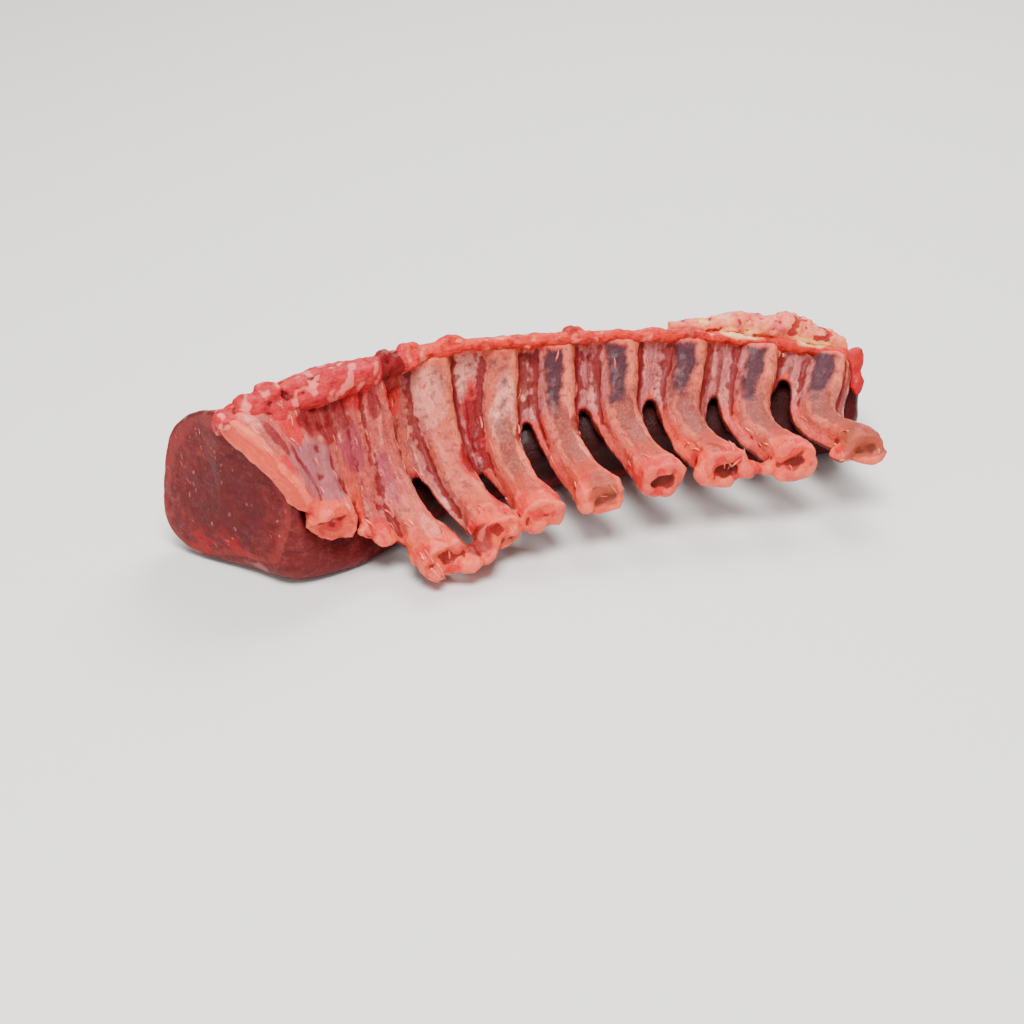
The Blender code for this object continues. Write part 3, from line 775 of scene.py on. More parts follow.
# The fat behind the rim, and the seam along the back, in the columns of EDGE
FAT_LUMPS = (
    (5.75, 1.8, -1.6, -0.6), (6.1, 2.6, -2.2, -0.4), (6.4, 3.6, -2.6, 0.2),
    (6.8, 4.5, -3.2, 1.4), (7.15, 4.1, -3.4, 1.4), (7.48, 5.6, -3.6, 2.6),
    (7.78, 4.4, -3.2, 1.6), (8.05, 3.6, -2.6, 0.8), (8.35, 2.4, -1.8, 0.0),
)
BACK_SEAM = (
    (-1.2, 2.8, -2.0, -3.4), (-0.8, 4.0, -2.6, -3.0), (-0.3, 4.2, -2.4, -3.6),
    (0.2, 4.4, -2.6, -4.2), (0.7, 4.2, -3.4, -5.0), (1.4, 4.0, -5.0, -8.6),
    (2.3, 3.3, -4.8, -9.0), (3.2, 4.1, -5.0, -9.5), (4.4, 3.4, -4.8, -9.0),
    (5.3, 4.2, -5.0, -9.6), (6.3, 3.5, -4.8, -9.2), (7.2, 4.2, -4.8, -9.6),
    (8.0, 3.4, -4.4, -9.0), (8.4, 2.4, -4.0, -8.0),
)
ROLL_STEP = 0.08  # stations from one point of a roll to the next


def along_chine(rows):
    """The line, radii and facings of a roll along the chine."""
    at = np.arange(rows[0][0], rows[-1][0] + ROLL_STEP / 2, ROLL_STEP)
    chine, _, across = ends_at(at)
    radius, aside, above = smooth(rows, at).T
    line = chine + across * aside[:, None]
    line[:, 2] += above
    return line, radius, np.tile(UP, (len(at), 1))


# A roll's swells are its radii in mm, so the oval that they scale is 2 mm wide and deep.
edge_roll = swept("edge roll", [along_chine(EDGE), along_chine(BACK_SEAM)], 2, 2)
fat_roll = swept("fat roll", [along_chine(FAT_LUMPS)], 2, 2)


LUMP_SUNK = 0.55  # how deep a lump sinks into its roll, as a share of its size


def lumps_on(rows, sizes, seed):
    """A handful of lumps sunk into a roll, spaced unevenly along it."""
    draw = np.random.default_rng(seed)
    line, radius, _ = along_chine(rows)
    balls, at = [], draw.uniform(1, 4)
    while at < len(line) - 2:
        k = int(at)
        size = radius[k] * draw.uniform(*sizes)
        way = unit(draw.normal(size=3) * (1, 1, 0.6) + (0, 0, 0.3))
        radii = size * draw.uniform((1.0, 0.7, 0.6), (1.7, 1.0, 0.9))
        turn = draw.uniform(-0.5, 0.5)
        c, s = math.cos(turn), math.sin(turn)
        balls.append(lump(line[k] + way * (radius[k] - size * LUMP_SUNK), radii,
                          ((c, s, 0), (-s, c, 0), UP)))
        at += draw.uniform(2.2, 5.0)
    return balls


TRIM_VOXEL, FAT_VOXEL = 0.62, 0.55  # mm
edge_trim = one_skin("chine_trim", [
    edge_roll, *lumps_on(EDGE, (0.35, 0.62), 5), *placed_lumps(EDGE_MEAT),
    *lumps_on(BACK_SEAM, (0.45, 0.75), 9)], TRIM_VOXEL, 5)
fat_trim = one_skin("chine_fat_lumps", [
    fat_roll, *lumps_on(FAT_LUMPS, (0.4, 0.7), 8),
    *lumps_on(FAT_LUMPS, (0.3, 0.5), 21)], FAT_VOXEL, 4)
for thing in (edge_trim, fat_trim):
    points = points_of(thing)[0]
    print(thing.name, len(points), "points", np.round(points.min(0), 1), np.round(points.max(0), 1))

# %% [markdown]
# ## Surface and places
# Now each skin gets its own small hills, and every point learns where it is: how near a
# bone, a cut edge, a gap or a tip. These numbers are the only map the materials need.

# %% Places on the rib wall
def on_wall(points):
    """Station, reach and height of points, then their nearest bone's number, how far beside
    its middle they lie, and how far they are from its tip and from the wall's lower edge."""
    station, reach, height = places(points)
    away = station[:, None] - bone_stations(reach)
    nearest = np.abs(away).argmin(1)
    beside = away[np.arange(len(station)), nearest] * RIB_PITCH
    to_tip, to_gap = ((end - reach) * rib_length
                      for end in (RIB_ENDS[nearest], lower_edge(station)))
    return station, reach, height, nearest, beside, to_tip, to_gap


STRAND_WIDTH, STRAND_STRETCH, STRAND_DEPTH = 2.3, 7, 3  # mm, and times as long and as deep


def strands_at(station, reach, height, beside):
    """Noise drawn out down the wall, like the strands of its membrane."""
    return lumps(np.stack([
        beside + RIB_PITCH * station.round(), reach * rib_length / STRAND_STRETCH,
        height / STRAND_DEPTH], -1), STRAND_WIDTH, 20)


wall_points, wall_normals = points_of(rib_wall)
station, reach, height, bone_number, beside, to_tip, to_gap = on_wall(wall_points)
print("to the nearest bone, mm:", np.abs(beside).max().round(1),
      " to a tip:", to_tip.min().round(1))

# %% Hills on the rib wall
STRAND_HEIGHT, HOLLOW_DEPTH, MARROW_DEPTH = 0.42, 1.8, 0.8
# How much of its marrow each sawn tip shows, from the first bone on
MARROW = (0, 0.2, 0.1, 0.2, 0.45, 1.0, 0.85, 0.6, 0.5)
MARROW_WIDTH, MARROW_HEIGHT = 4.2, 1.9
near_tip, near_gap = steps(14, 2, to_tip), steps(6, 1, to_gap)
rough = 0.3 + 0.9 * near_tip + 0.5 * near_gap + 0.5 * steps(1.6, 0.6, station)
marrow_beside = np.hypot(beside / MARROW_WIDTH, (height - RIB_RAISE) / MARROW_HEIGHT)
marrow_beside += 0.35 * lumps(wall_points, 4.0, 9)
marrow = np.array(MARROW)[bone_number] * steps(1.1, 0.6, marrow_beside) * steps(2.2, 0.4, to_tip)
# Strands of the membrane run down between the bones, and one hollow lies under the lumps
# at the cut end.
strands = strands_at(station, reach, height, beside)
strands *= STRAND_HEIGHT * np.maximum(steps(3.0, 5.5, np.abs(beside)), steps(1.8, 1.0, station))
dip = steps(1.2, 0.4, np.hypot((station - 0.06) / 0.42, (reach - 0.125) / 0.075))
# Swells, ripples, and the ragged meat of the tips
hills = (0.62 * rough * lumps(wall_points, 7.5, 1) + 0.26 * lumps(wall_points, 2.8, 2)
         + 0.45 * near_tip * lumps(wall_points, 4.2, 3))
lift = ((strands - HOLLOW_DEPTH * dip) * steps(0.5, 2.0, height)
        + (1 - marrow) * hills - MARROW_DEPTH * marrow)
move_points(rib_wall, wall_points + wall_normals * lift[:, None])
print("hills on the wall:", lift.min().round(2), "to", lift.max().round(2), "mm")

# %% Hills on the loin
loin_points, loin_normals = points_of(loin)
# Long swells and ripples on the sides, and the grain of the cut on both ends
on_side = (ring_number >= FACE_RINGS) & (ring_number < len(rings) - FACE_RINGS)
lift = np.where(on_side, 1.1 * lumps(loin_points, 26, 4) + 0.3 * lumps(loin_points, 7, 5),
                0.28 * lumps(loin_points, 5, 6))
lift *= steps(0.0, 5.0, loin_points[:, 2])  # none where it lies flat
loin_points += loin_normals * lift[:, None]
loin_points[:, 2] = np.maximum(loin_points[:, 2], 0)
move_points(loin, loin_points)
print("hills on the loin:", lift.min().round(2), "to", lift.max().round(2), "mm")

# %% Hills on the trimmed edge and its fat
# What would stand above TOP_LEVEL is pressed down by half.
TOP_LEVEL = 57.0
for thing, high, size, seed in ((edge_trim, 0.75, 5.5, 31), (fat_trim, 1.0, 5.0, 33)):
    points, normals = points_of(thing)
    lift = high * lumps(points, size, seed) + 0.5 * high * lumps(points, 0.45 * size, seed + 1)
    points = points + normals * lift[:, None]
    points[:, 2] -= 0.5 * np.maximum(points[:, 2] - TOP_LEVEL, 0)
    move_points(thing, points)
    print(thing.name, "hills:", lift.min().round(2), "to", lift.max().round(2), "mm")

# %% [markdown]
# ## Colours
# Every colour is written as the sRGB hex value that a picture editor shows, and one
# function turns it into the linear numbers that shaders work with.

# %% Colours
def linear(colour):
    """An sRGB hex colour as linear red, green, blue and alpha."""
    values = [int(colour[k:k + 2], 16) / 255 for k in (1, 3, 5)]
    return [v / 12.92 if v <= 0.04045 else ((v + 0.055) / 1.055) ** 2.4 for v in values] + [1]


print("mid grey in linear light:", round(linear("#808080")[0], 3))

# %% [markdown]
# ## Painting by place
# A painter would lay a base tone and then glaze other tones over parts of it. The material
# does the same: each glaze has a colour, a stored number that says where it goes, and a
# little noise that frays its border as real tissue does. Each call of steps below is such a
# border: where a tone starts and where it is full. Bruises, fresh cuts and patches of
# membrane lie where the butcher and the animal left them, so they are ovals in a table.

# %% Patches on the rib wall
# Each patch: station, reach, half its width in stations, half its length in reach, strength
FRESH_PATCHES = (
    (1.32, 0.10, 0.22, 0.14, 1), (2.24, 0.56, 0.2, 0.12, 1), (2.56, 0.34, 0.14, 0.2, 1),
    (0.62, 0.08, 0.32, 0.08, 1), (-0.55, 0.14, 0.22, 0.08, 1), (7.0, 0.985, 0.3, 0.04, 1),
    (-1.05, 0.3, 0.08, 0.07, 0.8), (0.36, 0.72, 0.24, 0.06, 1), (8.5, 0.1, 0.14, 0.2, 1),
)
PALE_PATCHES = (
    (2.5, 0.13, 0.18, 0.1, 1), (3.38, 0.2, 0.12, 0.14, 1), (1.86, 0.2, 0.28, 0.16, 0.6),
    (3.0, 0.34, 0.22, 0.22, 1), (6.72, 0.92, 0.2, 0.07, 0.7), (1.62, 0.75, 0.14, 0.1, 1),
    (1.02, 0.86, 0.16, 0.1, 0.8),
)
DARK_PATCHES = (
    (0.1, 0.13, 0.5, 0.11, 1), (0.9, 0.16, 0.1, 0.06, 1), (-0.92, 0.17, 0.12, 0.09, 0.8),
    (-0.74, 0.32, 0.06, 0.16, 0.7), (2.26, 0.54, 0.16, 0.10, 1), (2.56, 0.35, 0.12, 0.16, 1),
    (1.6, 0.98, 0.3, 0.07, 0.9), (5.9, 0.9, 0.2, 0.06, 0.5), (3.3, 0.5, 0.12, 0.09, 1),
    (4.26, 0.5, 0.12, 0.09, 1), (1.3, 0.04, 0.16, 0.05, 1),
)
TAN_PATCHES = ((8.02, 0.99, 0.36, 0.17, 1), (4.05, 0.97, 0.24, 0.1, 0.8))
PURPLE_PATCHES = ((0.4, 0.30, 0.24, 0.12, 1), (0.86, 0.5, 0.14, 0.16, 0.6))
SILVER_PATCHES = ((-0.5, 0.36, 0.55, 0.2, 1), (0.86, 0.03, 0.12, 0.05, 1))

wall_points = points_of(rib_wall)[0]
station, reach, height, _, beside, to_tip, to_gap = on_wall(wall_points)
on_inside = steps(-0.8, 1.2, height)
drift, blotch = lumps(wall_points, 11, 11), lumps(wall_points, 4.5, 12)


def patches(rows):
    """The rows' strength in the middle of each oval, fading to 0 past its frayed border."""
    found = np.zeros(len(station))
    for at, down, half_station, half_reach, strength in rows:
        away = np.hypot((station - at) / half_station, (reach - down) / half_reach)
        found = np.maximum(found, strength * steps(1.25, 0.55, away + 0.22 * blotch))
    return found * on_inside


print("share of the wall under fresh cuts:", patches(FRESH_PATCHES).mean().round(2))

# %% Where each glaze goes on the rib wall
strands = strands_at(station, reach, height, beside)
aside = beside + 0.9 * blotch + 0.5 * drift
long_ribs = steps(1.4, 2.6, station)
bone = steps(7.0, 4.0, np.abs(aside - 0.4)) * (
    steps(0.9, 1.8, station + 1.1 * steps(0.5, 0.8, reach)))
valley = (1 - bone) * steps(1.2, 2.0, station) * steps(0.02, 0.1, reach)
gap_rim, tips = steps(5.0, 0.8, to_gap) * steps(1.0, 1.5, station), steps(11.0, 1.5, to_tip)
cut_edge = steps(0.15, 0.06, station - cut_at(reach) + 0.05 * blotch)
# The short first bone: how far out along it each point is, and how far off its middle.
stub_away = wall_points - stub_end
stub_out = stub_away @ stub_way
stub_off = np.linalg.norm(stub_away - stub_out[:, None] * stub_way, axis=1)
stub_ring = steps(-3.0, -1.0, stub_out) * steps(14, 9, stub_off)
stub_core = steps(-2.4, -0.8, stub_out) * steps(4.4, 2.0, stub_off)
# Painted shade: the skin's hollows found here are glazed dark red, standing in for the shade in
# them.
sunk, raised = hollows_and_ridges(rib_wall, 26)
store(
    rib_wall,
    grain=np.stack([beside, reach * rib_length, height], -1),
    bone=bone, valley=valley, marrow=marrow,
    # Painted highlight: the skin's ridges are glazed paler, standing in for the light falling on
    # them.
    sunk=steps(0.05, 0.45, sunk), raised=steps(0.1, 0.7, raised),
    # The right side of each long bone is lighter: partly a paler ridge of meat, partly a painted
    # highlight where the light falls on that side.
    light_side=steps(0.2, 3.2, aside) * bone * long_ribs,
    # Painted shade, bluish like the thin silvery membrane there: the left side of each long bone's
    # top, under the overhanging rim, is darkened.
    shade=bone * steps(3.0, -1.4, beside + 0.8 * blotch)
    * steps(0.62, 0.1, reach + 0.08 * drift) * steps(2.4, 3.6, station),
    middle_red=bone * steps(4.4, 5.4, station) * steps(0.2, 0.34, reach) * steps(0.72, 0.5, reach),
    flank=steps(-4.2, -6.0, aside) * steps(-11, -8, beside) * steps(0.32, 0.46, reach) * long_ribs,
    low_flesh=steps(26, 8, to_tip) * on_inside,
    core_strip=steps(4.0, 1.8, np.abs(aside - 0.2)) * on_inside * steps(2.5, 3.0, station)
    * steps(0.3, 0.42, reach) * steps(0.97, 0.8, reach),
    left_sheet=steps(1.5, 0.9, station) * on_inside,
    lilac=valley * steps(0.4, 1.0, strands) * steps(0.75, 0.5, reach),
    dark_line=valley * steps(-0.25, -0.9, strands)
    + 0.8 * steps(5.2, 6.4, aside) * steps(8.6, 7.0, beside) * long_ribs,
    fresh=np.maximum.reduce([
        patches(FRESH_PATCHES), stub_core, 0.9 * tips * steps(-0.1, 0.6, blotch + 0.5 * drift),
        0.9 * gap_rim * steps(-0.3, 0.6, drift)]),
    pale=patches(PALE_PATCHES), dark_meat=patches(DARK_PATCHES), tan_tip=patches(TAN_PATCHES),
    purple=patches(PURPLE_PATCHES), silver=patches(SILVER_PATCHES),
    fat_edge=np.maximum.reduce([
        cut_edge, stub_ring, 0.9 * steps(4, 0.8, to_gap) * steps(0.9, 0.5, station),
        0.85 * tips, 0.75 * gap_rim * steps(0.3, -0.4, drift), 0.7 * steps(0.09, 0.02, reach)]),
    behind=(1 - on_inside) * (1 - cut_edge) * (1 - stub_ring) * steps(0.4, 2.0, to_tip)
    * (0.5 + 0.5 * steps(0.12, 0.3, reach)),
)
print("deepest hollow", sunk.max().round(2), "mm, highest ridge", raised.max().round(2), "mm")
print("share of the wall that is bone:", bone.mean().round(2))

# %% Where each glaze goes on the loin
loin_points, loin_normals = points_of(loin)
station, reach, height = places(loin_points)
on_cut = ring_number < FACE_RINGS
to_rim = np.clip(ring_number / FACE_RINGS, 0, 1)
# Toward the ribs' tips, and the other way: the back wears its silverskin in long streaks.
facing = (loin_normals * ends_at(station)[2]).sum(-1)
seams = lumps(loin_points * (0.2, 1, 1), 5, 41)
drift, blotch = lumps(loin_points, 14, 13), lumps(loin_points, 5, 14)
level = loin_points[:, 2]
store(
    loin,
    face_middle=on_cut * steps(0.75, 0.2, to_rim + 0.15 * drift),
    face_rim=on_cut * steps(0.7, 1.0, to_rim + 0.1 * blotch),
    streak=on_cut * steps(20, 6, level) * steps(-0.1, 0.5, blotch),
    # Painted shade: the loin's side under the rib wall, facing the tips, is darkened almost black,
    # as if in the wall's shadow.
    under=steps(-1.0, -5.0, height) * steps(0.04, 0.14, reach) * steps(8.35, 8.2, station)
    * steps(0.9, 1.6, station) * steps(2, 12, level) * steps(-0.1, 0.35, facing),
    right_end=steps(8.0, 8.3, station),
    silverskin=(1 - on_cut) * steps(0.25, -0.3, facing) * steps(0.0, 0.9, seams + 0.4 * drift),
)
print("share of the loin that is its cut face:", on_cut.mean().round(2))

# %% Where each glaze goes on the trimmed edge and its fat
edge_points = points_of(edge_trim)[0]
station, reach, height = places(edge_points)
drift, blotch = lumps(edge_points, 9, 15), lumps(edge_points, 3.6, 16)
red_end = steps(2.0, 1.2, station + 0.5 * drift)
# Painted shade: the roll's hollows are glazed dark, standing in for the shade in them.
sunk = hollows_and_ridges(edge_trim, 20)[0]
from_dark_lump = np.hypot((station - 1.26) / 0.2, (reach - 0.05) / 0.09)
creamy = np.maximum(steps(0.4, 0.15, np.abs(station - 6.7)),
                    steps(0.35, 0.1, np.abs(station - 7.72)))
store(
    edge_trim,
    sunk=steps(0.04, 0.35, sunk), red_end=red_end, right_red=steps(8.1, 8.35, station),
    rim=(1 - red_end) * steps(-3, 0, height), back=steps(-2.5, -5.5, height),
    dark_lump=steps(1.2, 0.8, from_dark_lump),
    fresh_fat=red_end * steps(-0.1, 0.6, blotch - 0.4 * drift),
    creamy=creamy * steps(0.045, 0.0, reach) * steps(-3, 0, height),
    # Pale spots on the upper side: partly pale fat, partly a painted highlight where light falls on
    # the top.
    pale_top=steps(0.1, 0.7, blotch + 0.4 * drift) * steps(-2, 1, height)
    * (1 - 0.7 * red_end * steps(-0.9, -0.5, station)),
    red_spot=(1 - red_end) * steps(0.25, 0.65, drift + 0.3 * blotch),
)
print("share of the edge that is its red end:", red_end.mean().round(2))

fat_points = points_of(fat_trim)[0]
station = places(fat_points)[0]
drift, blotch = lumps(fat_points, 8, 17), lumps(fat_points, 3.2, 18)
# Painted shade: the hollows between the lobes of fat are glazed dark red.
sunk = hollows_and_ridges(fat_trim, 20)[0]
low = steps(3.0, 0.0, fat_points[:, 2] - ends_at(station)[0][:, 2] + blotch)
near = np.maximum(steps(0.45, 0.2, np.abs(station - 6.75)), steps(0.5, 0.2, np.abs(station - 7.8)))
bloody = steps(0.55, 0.2, np.abs(station - 7.75)) * (1 - low)
store(
    fat_trim,
    sunk=steps(0.04, 0.35, sunk),
    yellow=np.maximum(low * near, 0.7 * steps(0.4, 0.8, drift)),
    red_spot=steps(0.5, 0.8, blotch + 0.5 * drift + 0.5 * bloody),
    pink=steps(-0.2, 0.4, blotch - drift) * (1 - low),
)
print("share of the fat that is low and yellow:", (low * near).mean().round(2))


# %% A glazed material
FINE_GRAIN, MOTTLE = 0.9, 1.9  # mm, the sizes of wet grain and of small blood spots


def painted(name, base, glazes, pattern, fray, bump_mm, wetness=0.06):
    """A wet tissue: a base tone, then glazes of (colour, stored number or noise, strength).

    pattern is (attribute or None for object place, size in mm, stretch) for its fibres, and
    fray is the size in mm of the noise at the glazes' borders."""
    material = bpy.data.materials.new(name)
    material.use_nodes = True
    tree = material.node_tree
    shader = tree.nodes["Principled BSDF"]
    place = add_node(tree, "ShaderNodeTexCoord").outputs["Object"]
    source_name, size, stretch = pattern
    if source_name:
        source = add_node(tree, "ShaderNodeAttribute", attribute_name=source_name).outputs["Vector"]
        repeats = (1 / size, 1 / (size * stretch), 1 / size)
    else:
        source = place
        repeats = (1 / (size * stretch * MM), 1 / (size * MM), 1 / (size * MM))
    drawn = add_node(tree, "ShaderNodeMapping", {"Vector": source, "Scale": repeats})
    noises = {key: add_node(tree, "ShaderNodeTexNoise", {
        "Vector": vector, "Scale": scale, "Detail": detail, "Roughness": roughness,
        "Distortion": distortion}) for key, vector, scale, detail, roughness, distortion in (
            ("coarse", place, 1 / (fray * MM), 4.0, 0.62, 0.0),
            ("fine", place, 1 / (FINE_GRAIN * MM), 3.0, 0.6, 0.0),
            ("mottle", place, 1 / (MOTTLE * MM), 3.0, 0.6, 0.0),
            ("fibres", drawn, 1.0, 3.0, 0.55, 0.6),
            ("streaks", drawn, 0.36, 3.0, 0.55, 0.6))}
    colour = linear(base)
    for tone, number, strength in glazes:
        signal, low, high = noises.get(number), 0.5, 0.68
        if signal is None:
            kept = add_node(tree, "ShaderNodeAttribute", attribute_name=number)
            signal, low, high = add_node(tree, "ShaderNodeMath", {
                0: noises["coarse"], 1: 1.1, 2: kept.outputs["Fac"]},
                operation="MULTIPLY_ADD"), 0.72, 1.3
        amount = add_node(tree, "ShaderNodeMapRange", {
            "Value": signal, "From Min": low, "From Max": high, "To Max": strength},
            interpolation_type="SMOOTHSTEP")
        colour = add_node(tree, "ShaderNodeMix", {
            "Factor": amount, 6: colour, 7: linear(tone)}, data_type="RGBA").outputs[2]
    # The film of juice is uneven: here it stands in drops, there it has dried.
    film = add_node(tree, "ShaderNodeMapRange", {
        "Value": noises["coarse"], "From Min": 0.35, "From Max": 0.7, "To Min": 0.38,
        "To Max": 0.62})
    grain = add_node(tree, "ShaderNodeMath", {
        0: noises["fibres"], 1: 1.4, 2: noises["fine"]}, operation="MULTIPLY_ADD")
    bump = add_node(tree, "ShaderNodeBump", {
        "Strength": 0.7, "Distance": bump_mm * MM, "Height": grain})
    for key, socket in (("Base Color", colour), ("Roughness", film.outputs[0]),
                        ("Normal", bump.outputs[0])):
        tree.links.new(socket, shader.inputs[key])
    for key, value in (
        ("Subsurface Weight", 0.18), ("Subsurface Radius", (1.0, 0.3, 0.2)),
        ("Subsurface Scale", 2 * MM), ("IOR", 1.38), ("Specular IOR Level", 0.2),
        ("Coat Weight", wetness), ("Coat Roughness", 0.14),
    ):
        shader.inputs[key].default_value = value
    print(name, "has", len(glazes), "glazes")
    return material


# %% Membrane over bone and meat
# Salmon over the bones and red between them, with a wet gleam. Strands 0.9 mm wide run down
# each rib. High up on the long ribs the left side of each bone is darkened bluish: partly a thin
# silvery membrane, partly painted shade under the overhanging rim.
wall_material = painted("wet membrane over bone and meat", "#bc4c40", (
    ("#b8686a", "valley", 0.75), ("#b44440", "left_sheet", 0.55), ("#f4907c", "streaks", 0.6),
    ("#8c1c20", "fibres", 0.45), ("#ad6876", "lilac", 0.6), ("#6c161a", "dark_line", 0.7),
    # The right sides of the long bones carry a painted highlight, partly a paler ridge of meat.
    ("#cc5c46", "bone", 0.8), ("#f07858", "light_side", 0.6), ("#f49c8a", "pale", 0.7),
    ("#a04236", "middle_red", 0.5), ("#84423e", "coarse", 0.6), ("#783236", "mottle", 0.6),
    ("#7a3028", "core_strip", 0.8), ("#f09a86", "fine", 0.14), ("#e8402c", "flank", 0.55),
    ("#c43c28", "low_flesh", 0.55), ("#33202c", "shade", 0.92), ("#8a2c48", "purple", 0.6),
    ("#96545c", "silver", 0.75), ("#ea4a30", "fat_edge", 0.75), ("#c80e1c", "fresh", 0.8),
    # Painted highlight on the skin's ridges.
    # Painted shade in the skin's hollows.
    ("#74121a", "dark_meat", 0.8), ("#ff8c70", "raised", 0.25), ("#700c10", "sunk", 0.85),
    ("#74402e", "tan_tip", 0.65), ("#4e120e", "behind", 0.85), ("#5e1a12", "marrow", 0.85),
), ("grain", 0.9, 6), 4.5, 0.5)
# Dark and fine, in bundles of fibre 1.6 mm wide that run along the rack: the cut face is
# deepest in its middle, and dull pink silverskin lies over the back.
loin_material = painted("raw lean lamb", "#621518", (
    ("#7c201e", "coarse", 0.5), ("#3e0c12", "streaks", 0.5), ("#8e3c34", "fibres", 0.22),
    ("#8c4440", "mottle", 0.3), ("#4a1218", "face_middle", 0.5), ("#94302c", "face_rim", 0.45),
    # Painted shade under the rib wall, nearly black.
    ("#a00e12", "streak", 0.5), ("#b4746c", "silverskin", 0.42), ("#2a0606", "under", 0.95),
    ("#420808", "right_end", 0.95),
), (None, 1.6, 5), 6, 0.35)
# Freshly sawn, so the brightest red of the rack, broken by pale fat and dark blood spots in
# short grain 1.4 mm wide. Pale spots on the roll's upper side are partly a painted highlight.
trim_material = painted("fresh trimmed meat", "#d02c28", (
    ("#d42a1e", "rim", 0.9), ("#8c2a26", "back", 0.85), ("#b41c28", "red_end", 0.9),
    # The pale spots on the roll's top are partly a painted highlight.
    ("#f88470", "pale_top", 0.6), ("#e4503c", "streaks", 0.3), ("#7c1016", "fibres", 0.55),
    ("#981216", "red_spot", 0.8), ("#8c0a12", "mottle", 0.55), ("#f07a6e", "fresh_fat", 0.6),
    ("#b0101c", "right_red", 0.85), ("#ffcc94", "creamy", 0.8), ("#600a0e", "dark_lump", 0.8),
    # Painted shade in the roll's hollows.
    ("#58060a", "sunk", 0.9),
), (None, 1.4, 3), 5, 0.45)
# Soft and waxy, in lobes 1.8 mm wide: salmon and pink on top, cream low down, and red where
# blood has soaked in.
fat_material = painted("pale lamb fat", "#f07858", (
    ("#d44e58", "pink", 0.7), ("#ffc068", "yellow", 0.85), ("#c03a34", "mottle", 0.4),
    ("#ffd4a0", "streaks", 0.4), ("#c8402e", "fibres", 0.5), ("#980e12", "red_spot", 0.9),
    # Painted shade in the hollows between the lobes.
    ("#9c1c18", "sunk", 0.9),
), (None, 1.8, 2), 4, 0.35)
for thing, material in ((rib_wall, wall_material), (loin, loin_material),
                        (edge_trim, trim_material), (fat_trim, fat_material)):
    thing.data.materials.clear()
    thing.data.materials.append(material)

# %% [markdown]
# ## Loose threads and marbling
# Trimmed meat is never clean: threads of sinew and membrane lie along the bones, stand up
# at the tips and hang at the gaps, and small flecks of fat show in the cut eye. Both are
# many small copies on a surface, so Geometry Nodes scatter them: more where the stored
# amount is high, and turned along the stored direction.

# %% A tree that scatters a shape over a surface
def scatter_tree(name, sizes, shape_of):
    """A tree that puts copies of a shape where the surface's stored amount is high."""
    tree, source = new_tree(name, sizes)
    amount, way = (add_node(tree, "GeometryNodeInputNamedAttribute", {"Name": key}, data_type=kind)
                   for key, kind in (("amount", "FLOAT"), ("way", "FLOAT_VECTOR")))
    density = add_node(tree, "ShaderNodeMath", {
        0: amount, 1: source.outputs["Density"]}, operation="MULTIPLY")
    spots = add_node(tree, "GeometryNodeDistributePointsOnFaces", {
        "Mesh": source.outputs["Geometry"], "Density": density,
        "Seed": source.outputs["Seed"]})
    turned = add_node(tree, "FunctionNodeAlignRotationToVector", {
        "Rotation": spots.outputs["Rotation"], "Vector": way}, axis="X", pivot_axis="Z")
    # Each copy is turned a little, and made longer or thicker than the last.
    spin, size = (add_node(tree, "FunctionNodeRandomValue", {
        0: least, 1: most, "Seed": source.outputs["Seed"]}, data_type="FLOAT_VECTOR")
        for least, most in (((0, -0.1, -0.4), (0, 0.1, 0.4)), ((0.4, 0.6, 0.6), (1.5, 1.4, 1.3))))
    spun = add_node(tree, "FunctionNodeRotateRotation", {
        "Rotation": turned, "Rotate By": add_node(tree, "FunctionNodeEulerToRotation", {0: spin})},
        rotation_space="LOCAL")
    end_tree(tree, source, add_node(tree, "GeometryNodeInstanceOnPoints", {
        "Points": spots.outputs["Points"], "Instance": shape_of(tree, source),
        "Rotation": spun, "Scale": size}))
    return tree


def thread_shape(tree, source):
    """A thin thread that starts and ends in the surface, thickest in its middle."""
    length, thickness = source.outputs["Length"], source.outputs["Thickness"]
    back, half, sunk_end, radius = (
        add_node(tree, "ShaderNodeMath", {0: size, 1: share}, operation="MULTIPLY")
        for size, share in ((length, -0.5), (length, 0.5), (thickness, -0.5), (thickness, 0.5)))
    start, end = (add_node(tree, "ShaderNodeCombineXYZ", {0: x, 2: sunk_end}) for x in (back, half))
    crown = add_node(tree, "ShaderNodeCombineXYZ", {1: thickness, 2: thickness})
    arc = add_node(tree, "GeometryNodeCurveQuadraticBezier", {
        "Resolution": 7, "Start": start, "Middle": crown, "End": end})
    ring = add_node(tree, "GeometryNodeCurvePrimitiveCircle", {"Resolution": 6, "Radius": radius})
    half_turn = add_node(tree, "ShaderNodeMath", {
        0: add_node(tree, "GeometryNodeSplineParameter").outputs["Factor"], 1: math.pi},
        operation="MULTIPLY")
    taper = add_node(tree, "ShaderNodeMath", {0: half_turn}, operation="SINE")
    fullness = add_node(tree, "ShaderNodeMath", {
        0: taper, 1: 0.75, 2: 0.25}, operation="MULTIPLY_ADD")
    return add_node(tree, "GeometryNodeCurveToMesh", {
        "Curve": arc, "Profile Curve": ring, "Fill Caps": True, "Scale": fullness})


def fleck_shape(tree, source):
    """A small flat drop, mostly sunk in the surface."""
    ball = add_node(tree, "GeometryNodeMeshIcoSphere", {
        "Radius": source.outputs["Thickness"], "Subdivisions": 3})
    flat = add_node(tree, "ShaderNodeCombineXYZ", {0: source.outputs["Length"], 1: 1.0, 2: 0.3})
    return add_node(tree, "GeometryNodeTransform", {"Geometry": ball, "Scale": flat})


